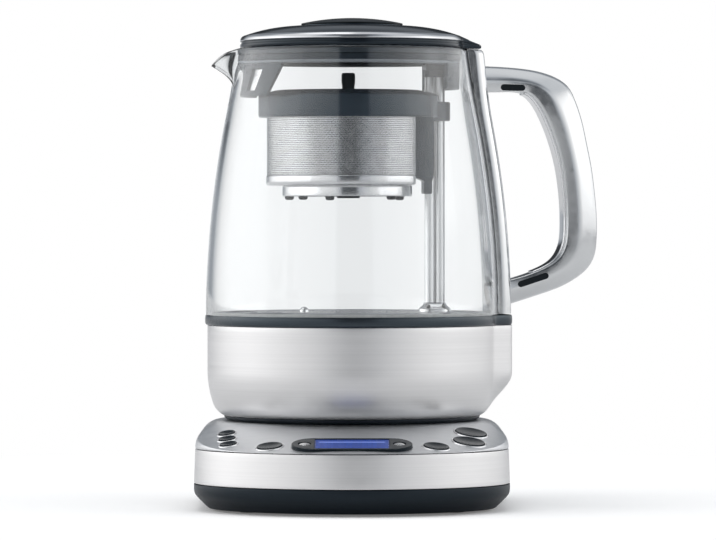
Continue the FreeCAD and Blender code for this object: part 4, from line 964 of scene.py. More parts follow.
@dataclass
class PowerBase(Assembly):
    """Base with its tray, steel band, sloping control panel, display, keys and connector."""

    half_width: float = 83.4
    front: float = 127.4
    back: float = 86.0
    corner: float = 62.0
    sweep: float = 95.0
    tray_low: float = 1.2
    chamfer: float = 7.3
    seam: float = 14.1
    band_top: float = 32.4
    lean: float = 0.7
    deck: float = 45.0
    shoulder: float = 12.0
    tilt: float = math.radians(12.0)
    crown: float = 447.0
    wall: float = 2.2
    display_y: float = -108.6
    screw_step: float = 14.0
    gland_high: float = 23.5
    keys: tuple[Key, ...] = (
        Key("clock_button", -65.8, -66.6, 4.4),
        Key("auto_start_button", -65.4, -77.9, 4.4),
        Key("keep_warm_button", -64.4, -89.2, 4.4),
        Key("tea_strength_button", -42.6, -104.0, 6.6),
        Key("tea_type_button", 43.6, -104.0, 6.6),
        Key("hot_water_button", 62.5, -67.4, 8.3),
        Key("tea_start_button", 61.0, -86.6, 8.3),
        Key("minus_button", -24.6, -108.6, 3.2, domed=True),
        Key("plus_button", 24.6, -108.6, 3.2, domed=True),
    )

    def outline(self, form: Form, inset: float, height: float = 0.0) -> None:
        """Draw the base's plan outline, moved inwards by inset, at the form's height.

        Args:
            form: Form to draw in.
            inset: Distance moved inwards.
            height: Not used.
        """
        across = self.half_width - self.corner
        step = self.sweep - self.corner
        along = math.sqrt(step ** 2 - across ** 2)
        front_y, rear_y = self.sweep - self.front, self.back - self.sweep
        arc, bend = self.sweep - inset, self.corner - inset
        side = self.half_width - inset
        join_x = across / step * arc
        join_front = front_y - along / step * arc
        join_rear = rear_y + along / step * arc
        form.start(-join_x, join_front).arc(join_x, join_front, arc, steps=40)
        form.arc(side, front_y - along, bend, steps=14)
        for k in range(1, 15):
            form.line(side, front_y - along + (rear_y - front_y + 2 * along) * k / 14)
        form.arc(join_x, join_rear, bend, steps=14).arc(-join_x, join_rear, arc, steps=40)
        form.arc(-side, rear_y + along, bend, steps=14)
        for k in range(1, 15):
            form.line(-side, rear_y + along - (rear_y - front_y + 2 * along) * k / 14)
        form.arc(-join_x, join_front, bend, steps=14)
        form.close()

    def panel_height(self, x: float, y: float) -> float:
        """Height of the tilted, crowned panel surface over a plan point."""
        drop = (self.crown - math.sqrt(self.crown ** 2 - x ** 2)) / math.cos(self.tilt)
        return self.band_top + (y + self.front) * math.tan(self.tilt) - drop

    def on_panel(self, x: float, y: float) -> Matrix:
        """Matrix that stands a form drawn about Z on the panel, square to it.

        Args:
            x: Place along X.
            y: Place along Y.

        Returns:
            The matrix.
        """
        across = x / (math.cos(self.tilt) * math.sqrt(self.crown ** 2 - x ** 2))
        normal = Vector((across, -math.tan(self.tilt), 1.0)).normalized()
        turn = UP.rotation_difference(normal).to_matrix().to_4x4()
        return Matrix.Translation((x, y, self.panel_height(x, y))) @ turn

    def build(self) -> None:
        """Make every piece of the base."""
        self.make_tray()
        self.make_feet()
        self.make_band()
        self.make_cover()
        self.make_display()
        self.make_keys()
        self.make_connector()
        self.dress_solids({
            "tray_screws": STEEL_PLAIN, "display_module": BOARD, "control_board": BOARD,
            "tact_switches": TRAY_BLACK, "power_board": BOARD, "buzzer": TRAY_BLACK,
        })

    def make_tray(self) -> None:
        """Black tray with a chamfered, soft underside and recesses for feet and screws."""
        form = Form()
        low, edge = self.tray_low, self.chamfer
        levels = (
            (edge + 6.0, low), (edge + 0.8, low), (edge + 0.1, low + 0.3), (edge - 0.6, low + 0.9),
            (1.9, low + edge - 1.7), (0.9, low + edge - 0.4), (0.35, low + edge + 0.7),
            (0.1, low + edge + 2.0), (0.0, low + edge + 3.2), (0.0, self.seam - 0.5),
            (0.15, self.seam - 0.15), (0.5, self.seam), (self.wall + 1.6, self.seam),
        )
        form.stack(self.outline, levels)
        form.fill().tidy()
        tools = Form()
        for x, y in FEET:
            tools.join(rod(7.3, -1.0, 3.0, 0.0, 40, (x, y), 0.0))
            if y:
                inward = y - math.copysign(self.screw_step, y)
                tools.join(rod(3.0, -1.0, low + 2.2, 0.0, 28, (x, inward), 0.0))
        self.carved(form, tools, "base_tray_shell", TRAY_BLACK, ("base_tray",), "black_plastic",
                    32.0)

    def make_feet(self) -> None:
        """Five rubber feet with a rounded rim and a shallow dish."""
        form = Form()
        for x, y in FEET:
            foot = Form().start(0.0, 0.5).line(3.6, 0.5, 0.3).line(4.2, 0.0, 0.3)
            foot.line(7.0, 0.0, 0.5).line(7.0, 3.0).line(0.0, 3.0)
            form.join(foot.soften(3).turned(40, centre=(x, y), towards=0.0))
        self.finish(form, "base_feet", RUBBER, ("rubber_feet",), "soft_black")

    def make_band(self) -> None:
        """Brushed steel band that leans in slightly, with soft rims."""
        form = Form()
        rise = self.band_top - self.seam
        low, top, lean = self.seam, self.band_top, self.lean
        levels = [(self.wall, low + 0.25), (0.45, low + 0.25), (0.12, low + 0.38),
                  (0.03, low + 0.8)]
        levels += [(lean * k / 6.0, low + rise * k / 6.0) for k in range(1, 6)]
        levels += [(lean - 0.03, top - 0.8), (lean + 0.12, top - 0.28), (lean + 0.55, top - 0.1)]
        levels.append((lean + self.wall, top - 0.2))
        loops = form.stack(self.outline, levels)
        form.bridge(loops[-1], loops[0])
        form.tidy()
        tools = rod(6.05, -20.0, 20.0, 0.0, 40, towards=0.0)
        tools.stand(Matrix.Translation((0.0, self.back - 5.0, self.gland_high))
                    @ Matrix.Rotation(math.pi / 2, 4, "X"))
        self.carved(form, tools, "base_band_shell", STEEL_ROUND, ("base_band",), "brushed_steel",
                    32.0)

    def cover_side(self, form: Form, sheet: float) -> list[bmesh.types.BMEdge]:
        """Draw one side of the cover's sheet, from its lower rim to the middle.

        Args:
            form: Form that takes the side.
            sheet: Distance below the outer side, 0 for the outer side itself.

        Returns:
            Edges of the lower rim.
        """
        foot = self.band_top + 0.15
        levels = [(self.lean + 0.4 + sheet * 0.6, foot)]
        if not sheet:
            levels.append((self.lean + 0.12, foot + 0.14))
        for degrees in (0.0, 2.5, 5.0, 8.0, 12.0, 17.0, 23.0, 30.0, 38.0, 46.0, 54.0, 63.0, 72.0,
                        81.0, 90.0):
            t = math.radians(degrees)
            levels.append((self.lean + sheet + (self.shoulder - sheet) * (1.0 - math.cos(t)),
                           self.deck - self.shoulder + (self.shoulder - sheet) * math.sin(t)))
        known = set(form.bm.verts)
        loops = form.stack(self.outline, levels)
        last = loops[-1]
        middle = Vector((0.0, -22.0, 0.0))
        for k in range(1, 31):
            grown = bmesh.ops.extrude_edge_only(form.bm, edges=last)["geom"]
            last = [g for g in grown if isinstance(g, bmesh.types.BMEdge)]
            for vert in {v for e in last for v in e.verts}:
                vert.co = middle + (vert.co - middle) * (31.0 - k) / (32.0 - k)
                vert.co.z = self.deck - sheet
        bmesh.ops.holes_fill(form.bm, edges=last, sides=0)
        rim = {v for e in loops[0] for v in e.verts}
        for vert in form.bm.verts:
            if vert not in known and vert not in rim:
                top = soft_min(vert.co.z + sheet, self.panel_height(vert.co.x, vert.co.y), 0.9)
                vert.co.z = max(top - sheet, foot + 0.03)
        return loops[0]

    def make_cover(self) -> None:
        """Steel cover: level deck at the back, crowned sloping panel at the front."""
        form = Form()
        outer = self.cover_side(form, 0.0)
        form.bridge(outer, self.cover_side(form, 1.3))
        form.tidy()
        tools = rod(12.1, self.deck - 4.0, self.deck + 3.0, 0.0, 64, towards=0.0)
        for key in self.keys:
            if not key.domed:
                hole = rod(key.radius + 1.0, -4.0, 3.0, 0.0, 48, towards=0.0)
                tools.join(hole.stand(self.on_panel(key.x, key.y)))
        seat = Form(Plane.PLAN, height=-4.0)
        stadium(seat, 31.42, 11.72)
        tools.join(seat.raised(7.0).stand(self.on_panel(0.0, self.display_y)))
        self.carved(form, tools, "base_cover_shell", STEEL_PANEL, ("base_cover",), "brushed_steel",
                    28.0)

    def make_display(self) -> None:
        """Slate frame with round ends, its blue window and the window's light border."""
        place = self.on_panel(0.0, self.display_y)
        form = Form()
        levels = ((0.0, -1.0), (0.0, 0.45), (0.12, 0.72), (0.45, 0.88), (0.9, 0.92))
        form.stack(pill(31.3, 11.6, 14), levels)
        form.fill().tidy()
        window = Form(Plane.PLAN, height=-3.0)
        window.start(-19.35, -9.45, 0.8).line(19.35, -9.45, 0.8).line(19.35, 9.45, 0.8)
        window.line(-19.35, 9.45, 0.8).close(4).raised(6.0)
        for side in (-1.0, 1.0):
            window.join(rod(3.45, -3.0, 3.0, 0.0, 40, (side * 24.6, 0.0), 0.0))
        self.carved(form.stand(place), window.stand(place), "display_frame", KEY_SLATE,
                    ("display_bezel",), "slate_plastic", 30.0)
        glass = Form(Plane.PLAN, height=-2.2)
        glass.start(-18.7, -8.8, 0.5).line(18.7, -8.8, 0.5).line(18.7, 8.8, 0.5)
        glass.line(-18.7, 8.8, 0.5).close(4).raised(2.75)
        glass.bevelled(lambda e: min(v.co.z for v in e.verts) > 0.5, 0.2, 2)
        self.finish(glass.stand(place), "display_window", WINDOW, ("display_lens",), "blue_display")
        edge = Form()
        frame_levels = ((0.0, -1.0), (0.0, 0.42), (0.12, 0.55), (0.55, 0.55), (0.66, 0.42),
                        (0.66, -1.0))

        def rim(form_: Form, inset: float, _: float) -> None:
            """Draw the window's rounded border at an inset."""
            x, y = 19.3 - inset, 9.4 - inset
            form_.start(-x, -y, 0.7).line(x, -y, 0.7).line(x, y, 0.7).line(-x, y, 0.7).close(4)

        loops = edge.stack(rim, frame_levels)
        edge.bridge(loops[-1], loops[0])
        self.finish(edge.tidy().stand(place), "display_window_edge", WINDOW_EDGE)

    def make_keys(self) -> None:
        """Dished keys in bright collars, and the two bright domes by the display."""
        collars = Form()
        for key in self.keys:
            place = self.on_panel(key.x, key.y)
            cap = Form().start(0.0, -7.5).line(1.5, -7.5).line(1.5, -1.4)
            cap.line(key.radius - 2.0, -1.4)
            cap.line(key.radius - 1.2, -0.6).line(key.radius, -0.6)
            if key.domed:
                bend = (key.radius ** 2 + 0.9 ** 2) / (2 * 0.9)
                cap.line(key.radius, 1.0, 0.25).arc(0.0, 1.9, bend, steps=10)
                look, slot = CHROME, "polished_metal"
            else:
                inner = key.radius - 0.5
                bend = (inner ** 2 + 0.85 ** 2) / (2 * 0.85)
                cap.line(key.radius, 0.95, 0.2).line(inner, 0.95, 0.2)
                cap.arc(0.0, 0.1, bend, left=False, steps=10)
                look, slot = KEY_SLATE, "slate_plastic"
                collar = Form().start(key.radius + 0.25, -1.2).line(key.radius + 1.1, -1.2)
                collar.line(key.radius + 1.1, 0.22, 0.2).line(key.radius + 0.85, 0.5, 0.15)
                collar.line(key.radius + 0.4, 0.5, 0.15).line(key.radius + 0.25, 0.3, 0.1)
                collars.join(collar.close(3).turned(72, towards=0.0).stand(place))
            cap.soften(3).turned(64, towards=0.0).stand(place)
            on_key = Assembly(Body.BASE)
            piece = on_key.finish(cap, key.node + "_cap", look, (key.node,), slot, 30.0)
            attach(piece, key.node.replace("_button", "_key"))
        self.finish(collars, "key_collars", CHROME, ("button_collars",), "polished_metal", 30.0)

    def make_connector(self) -> None:
        """Round male connector on the deck, its contacts, and the rubber gland at the back."""
        plug = Form().start(0.0, 30.0).line(15.5, 30.0, 0.5).line(15.5, 42.8).line(12.0, 42.8)
        plug.line(12.0, 57.0, 0.9).line(9.0, 57.0, 0.3).line(9.0, 45.0).line(6.0, 45.0)
        plug.line(6.0, 57.0, 0.3).line(1.6, 57.0, 0.3).line(1.6, 45.0).line(0.0, 45.0)
        self.finish(plug.soften(3).turned(72), "connector_post", TRAY_BLACK, ("base_plug",),
                    "black_plastic")
        pins = ring(8.2, 9.0, 45.0, 55.0, 0.2, 64).join(ring(6.0, 6.8, 45.0, 55.0, 0.2, 64))
        pins.join(rod(1.5, 45.0, 55.4, 0.4, 24))
        self.finish(pins, "connector_contacts", BRASS, ("plug_contacts",), "brass_metal")
        gland = Form().start(3.5, -16.0).line(7.5, -16.0, 0.5).line(7.5, -4.7, 0.3).line(6.0, -4.7)
        gland.line(6.0, 0.0).line(6.9, 0.0, 0.3).line(6.9, 0.5, 0.3).line(5.2, 1.0, 0.3)
        gland.line(3.5, 1.0, 0.3).close(3).turned(48, towards=0.0)
        rear = self.back - self.lean / 2.0
        place = Matrix.Translation((0.0, rear, self.gland_high))
        place @= Matrix.Rotation(-math.pi / 2, 4, "X")
        self.finish(gland.stand(place), "mains_gland", RUBBER, ("cord_gland",), "soft_black")


# ---------------------------------------------------------------- jug
def wall_radius(height: float) -> float:
    """Outer radius of the glass at a height: belly arc, then the reversed neck arc.

    Args:
        height: Height in millimetres.

    Returns:
        The radius.
    """
    if height <= 205.0:
        rise = max(height - 100.0, 0.0)
        return 78.8 - 560.0 + math.sqrt(560.0 ** 2 - rise ** 2)
    centre = Vector((558.84, 304.83))
    return centre.x - math.sqrt(500.0 ** 2 - (centre.y - height) ** 2)


@dataclass
class Jug(Assembly):
    """Steel heater pot with its black collar, glass, lift post and handle."""

    body: Body = Body.JUG
    housing_reach: float = 86.4
    housing_core: float = 13.0
    housing_skirt: float = 23.0
    lip_reach: float = 14.6
    lip_fall: float = 9.4
    lip_foot: float = 215.0
    rim: float = 245.0

    def build(self) -> None:
        """Make every piece of the jug."""
        self.make_shell()
        self.make_collar()
        self.make_foot()
        self.make_floor()
        self.make_glass()
        self.make_post()
        self.make_spine()
        self.make_handle()
        self.dress_solids({
            "jug_foot_screws": STEEL_PLAIN, "heating_element": STEEL_PLAIN, "glass_seal": SILICONE,
            "temperature_probe": STEEL_CUP, "lift_motor": STEEL_PLAIN, "motor_pinion": NYLON,
            "lead_screw": STEEL_PLAIN, "screw_gear": NYLON, "magnet_nut": NICKEL,
        })

    def housing(self, radius: float) -> Callable[[Vector], Vector]:
        """Bulge towards the handle for a wall of that radius.

        Args:
            radius: Radius of the wall.

        Returns:
            Function from a vertex's place to its new place.
        """

        def shape(place: Vector) -> Vector:
            """Push a point out where the housing is.

            Args:
                place: A vertex's place.

            Returns:
                The new place.
            """
            reach = math.hypot(place.x, place.y)
            if reach < radius * 0.8:
                return place
            angle = abs(turn_from(AIM, place.x, place.y))
            share = smooth(self.housing_skirt, self.housing_core, angle)
            share *= smooth(51.5, 70.0, place.z)
            grow = 1.0 + share * (self.housing_reach - radius) / reach
            return Vector((place.x * grow, place.y * grow, place.z))

        return shape

    def make_shell(self) -> None:
        """Brushed steel pot with a rounded heel and the housing that carries the handle."""
        form = Form().start(69.42, 47.79).arc(75.0, 54.09, 11.0, steps=10)
        form.arc(78.0, 72.0, 55.0, steps=14)
        for k in range(1, 9):
            form.line(78.0, 72.0 + (95.95 - 72.0) * k / 8)
        form.line(77.7, 96.3).line(76.8, 96.4)
        form.line(76.8, 72.0).arc(73.87, 54.48, 53.8, left=False, steps=8)
        form.arc(68.9, 48.87, 9.8, left=False, steps=6).close()
        form.turned(288).bend(self.housing(78.0))
        self.finish(form, "pot_shell", STEEL_ROUND, ("jug_shell",), "brushed_steel", 50.0)

    def make_collar(self) -> None:
        """Near-black collar between steel and glass, wider over the housing."""
        form = Form().start(72.5, 96.45).line(78.6, 96.45, 0.2).line(79.2, 97.0, 0.5)
        form.line(79.3, 99.0).line(79.2, 101.0, 0.6).line(78.85, 101.8, 0.2)
        form.line(78.85, 99.0).line(72.5, 99.0).close(3)
        form.turned(288).bend(self.housing(79.2))
        self.finish(form, "pot_collar", COLLAR_BLACK, ("jug_collar",), "black_plastic", 45.0)

    def make_foot(self) -> None:
        """Black foot ring and bottom plate with its round window and four thin rings underneath."""
        form = Form().start(17.9, 47.2, 0.3).line(60.0, 47.2, 0.5).line(60.0, 45.2, 0.3)
        form.line(67.4, 45.2, 0.5).line(69.0, 46.8, 0.5).line(69.0, 47.5).line(65.0, 49.6)
        form.line(17.9, 49.6).close(3).turned(160)
        for radius in (26.0, 33.0, 47.0, 54.0):
            form.join(ring(radius - 0.6, radius + 0.6, 46.8, 47.6, 0.25, 96))
        self.finish(form, "pot_foot", TRAY_BLACK, ("jug_foot",), "black_plastic")

    def make_floor(self) -> None:
        """Steel floor of the jug with a raised rim and a shallow ring over the heater."""
        form = Form().start(0.0, 101.0).line(75.0, 101.0).line(75.0, 103.2, 0.6)
        form.line(70.0, 103.2, 0.6).line(68.0, 102.6, 0.8).line(56.0, 102.6, 0.8)
        form.line(54.0, 103.2, 0.8).line(0.0, 103.2)
        self.finish(form.soften(4).turned(192), "pot_floor", STEEL_FLOOR, ("jug_floor",),
                    "brushed_steel")

    def lip(self, place: Vector) -> Vector:
        """Pull the glass out and down into the pouring lip.

        Args:
            place: A vertex's place.

        Returns:
            The new place.
        """
        if place.z < self.lip_foot:
            return place
        angle = turn_from(POUR, place.x, place.y)
        rise = (place.z - self.lip_foot) / (self.rim - self.lip_foot)
        out = self.lip_reach * math.exp(-(angle / 9.6) ** 2)
        out *= max(rise - 0.42, 0.0) ** 1.7 / 0.58 ** 1.7
        fall = self.lip_fall * math.exp(-(angle / 6.8) ** 2) * rise
        grow = 1.0 + out / math.hypot(place.x, place.y)
        return Vector((place.x * grow, place.y * grow, place.z - fall))

    def make_glass(self) -> None:
        """Blown glass wall with a rounded rim and its pouring lip."""
        thick = 2.9
        form = Form().start(78.8, 99.3).line(78.8, 100.0)
        form.arc(wall_radius(205.0), 205.0, 560.0, steps=36)
        form.arc(62.4, 243.9, 500.0, left=False, steps=30)
        form.arc(62.4 - thick * 0.75, 243.95, thick * 0.375, steps=6)
        form.arc(wall_radius(205.0) - thick, 205.0, 503.0, steps=30)
        form.arc(78.8 - thick, 100.0, 557.0, left=False, steps=36)
        form.line(78.8 - thick, 99.3).close()
        form.turned(320, towards=POUR).bend(self.lip)
        self.finish(form, "jug_glass_wall", GLASS, ("glass_jug",), "clear_glass", 60.0)

    def make_post(self) -> None:
        """Two thin bright tubes, the foot that holds them and the bridge on top."""
        for name, reach, node in (("post_tube_drive", POST_NEAR, "drive_tube"),
                                  ("post_tube_guide", POST_FAR, "guide_rod")):
            tube = rod(2.75, 93.0, 229.5, 0.2, 40, (reach, 0.0))
            self.finish(tube, name, STEEL_TUBE, (node,), "polished_metal")
        plates = (
            ("post_foot_flange", 6.0, STEEL_CUP, "post_foot", ((0.0, 103.25), (0.0, 104.4),
             (0.4, 105.2), (2.2, 106.6), (2.9, 108.2), (3.2, 108.3))),
            ("post_top_bridge", 2.95, SMOKED, "post_cap", ((0.3, 229.4), (0.0, 229.7),
             (0.0, 232.4), (0.25, 233.0), (0.9, 233.2))),
        )
        for name, half, look, node, levels in plates:
            plate = Form()
            plate.stack(pill(half + POST_RUN, half), levels)
            plate.fill().tidy().move(POST_MIDDLE, 0.0, 0.0).stand(AT_HANDLE)
            self.finish(plate, name, look, (node,), "slate_plastic")

    def make_spine(self) -> None:
        """Bright shield that follows the back of the glass, with rounded long edges."""
        def section(form: Form, inset: float, height: float) -> None:
            """Draw the shield's section: inner arc on the glass, outer arc with round corners.

            Args:
                form: Form to draw in.
                inset: Distance moved inwards.
                height: Height in millimetres.
            """
            inner = wall_radius(height) + 0.35
            outer = wall_radius(height) + 7.2 + smooth(205.0, 244.0, height) * 1.4 - inset
            half = math.radians(11.5)
            form.start(inner * math.cos(half), -inner * math.sin(half), 0.4)
            form.line(outer * math.cos(half), -outer * math.sin(half), 5.6)
            form.arc(outer * math.cos(half), outer * math.sin(half), outer, steps=4)
            form.corners.append((form.tip, 5.6))
            form.line(inner * math.cos(half), inner * math.sin(half), 0.4)
            form.arc(inner * math.cos(half), -inner * math.sin(half), inner, left=False, steps=4)
            form.close(7)

        form = Form()
        form.stack(section, [(0.0, 102.3), *((0.0, float(z)) for z in range(108, 241, 6)),
                             (0.0, 242.0), (0.35, 243.6), (1.2, 244.6)])
        form.fill().tidy().stand(AT_HANDLE)
        self.finish(form, "handle_shield", STEEL_SATIN, ("handle_spine",), "polished_metal", 40.0)

    def grip(self, stations: Sequence[Sequence[float]], crease: float, narrow: float) -> Form:
        """A bar along the grip's side view: flat sides, then facets that turn away outwards.

        Args:
            stations: Rows of outer reach, outer height, inner reach, inner height, half width.
            crease: Share of the depth that the flat sides take, from the inner side.
            narrow: Half width of the outer face as a share of the full half width.

        Returns:
            The skinned bar, closed at both ends.
        """
        form = Form()
        last: list[bmesh.types.BMEdge] = []
        for out_r, out_z, in_r, in_z, half in catmull(stations, 4):
            known = set(form.bm.edges)
            mid_r, mid_z = in_r + (out_r - in_r) * crease, in_z + (out_z - in_z) * crease
            corners = ((out_r, -half * narrow, out_z, 0.30), (out_r, half * narrow, out_z, 0.30),
                       (mid_r, half, mid_z, 0.16), (in_r, half * 0.95, in_z, 0.10),
                       (in_r, -half * 0.95, in_z, 0.10), (mid_r, -half, mid_z, 0.16))
            verts = [form.bm.verts.new(c[:3]) for c in corners]
            for a, b in zip(verts, verts[1:] + verts[:1]):
                form.bm.edges.new((a, b))
            for vert, corner in zip(verts, corners):
                bmesh.ops.bevel(form.bm, geom=[vert], offset=corner[3] * half, offset_type="OFFSET",
                                segments=3, profile=0.5, affect="VERTICES", material=-1)
            loop = [e for e in form.bm.edges if e not in known]
            if last:
                form.bridge(last, loop)
            last = loop
        return form.fill().tidy()

    def make_handle(self) -> None:
        """D-shaped satin grip, the bright strip let into its inner side, and dark pills of painted
        shade on its arms.
        """
        stations = (
            (66.0, 236.3, 64.0, 222.0, 10.4), (80.0, 235.8, 80.0, 222.1, 9.6),
            (92.0, 234.9, 88.0, 222.3, 9.6), (102.1, 233.3, 93.0, 221.6, 9.8),
            (111.0, 230.3, 96.2, 220.0, 10.2), (117.6, 225.8, 99.8, 216.2, 10.6),
            (121.6, 219.0, 103.2, 210.5, 10.9), (125.7, 207.2, 107.2, 201.5, 11.0),
            (128.6, 194.1, 111.0, 190.3, 11.0), (131.2, 181.1, 113.6, 179.0, 11.0),
            (132.9, 168.0, 115.2, 167.0, 11.0), (134.0, 155.0, 115.9, 155.0, 11.0),
            (134.0, 142.0, 115.6, 143.4, 11.0), (132.6, 133.0, 113.6, 136.0, 10.9),
            (128.6, 126.2, 109.8, 130.8, 10.6), (121.6, 120.6, 104.2, 127.2, 10.2),
            (112.6, 115.9, 97.7, 124.4, 9.8), (101.0, 111.9, 90.0, 121.9, 9.6),
            (90.0, 108.4, 82.0, 119.8, 9.8), (78.0, 104.7, 75.0, 117.9, 10.6),
        )
        bar = self.grip(stations, 0.46, 0.50).stand(AT_HANDLE)
        self.finish(bar, "handle_grip", STEEL_SATIN, ("handle",), "polished_metal", subdivide=1)
        strip = []
        for out_r, out_z, in_r, in_z, _ in stations[3:17]:
            way = Vector((out_r - in_r, out_z - in_z)).normalized()
            strip.append((in_r + 2.0 * way.x, in_z + 2.0 * way.y, in_r - way.x, in_z - way.y, 6.9))
        self.finish(self.grip(strip, 0.5, 0.92).stand(AT_HANDLE), "handle_inner_strip", CHROME,
                    ("handle_insert",), "polished_metal", subdivide=1)
        # Dark pills on one side of each arm: painted shade in place of a recess, in a near-black
        # finish.
        shade_pills = Form()
        side, half = 9.55, 1.7
        for near, far in (((81.6, 224.5), (91.6, 224.3)), ((91.0, 118.2), (104.4, 122.6))):
            run = Vector((far[0] - near[0], far[1] - near[1]))
            slot = Form(Plane.PLAN, height=-1.2)
            stadium(slot, run.length / 2.0 + half, half, 10)
            slot.raised(1.5).bevelled(lambda e: min(v.co.z for v in e.verts) > 0.2, 0.25, 2)
            middle = ((near[0] + far[0]) / 2.0, -side, (near[1] + far[1]) / 2.0)
            slot.stand(Matrix.Translation(middle)
                       @ Matrix.Rotation(-math.atan2(run.y, run.x), 4, "Y")
                       @ Matrix.Rotation(math.pi / 2.0, 4, "X"))
            shade_pills.join(slot)
        shade_pills.bend(lambda p: Vector((p.x, p.y - max(p.x - 96.0, 0.0) * 0.045, p.z)))
        self.finish(shade_pills.stand(AT_HANDLE), "handle_arm_shade_pills", KNOB_BLACK)


@dataclass
class JugSocket(Assembly):
    """Female half of the round connector under the jug."""

    body: Body = Body.SOCKET

    def build(self) -> None:
        """Make the socket."""
        form = Form().start(0.0, 59.2).line(12.4, 59.2).line(12.4, 49.5, 0.4).line(13.9, 48.0, 0.4)
        form.line(17.5, 48.0, 0.5).line(17.5, 63.0, 0.5).line(0.0, 63.0)
        self.finish(form.soften(3).turned(72), "connector_socket", TRAY_BLACK, ("jug_socket",),
                    "black_plastic")


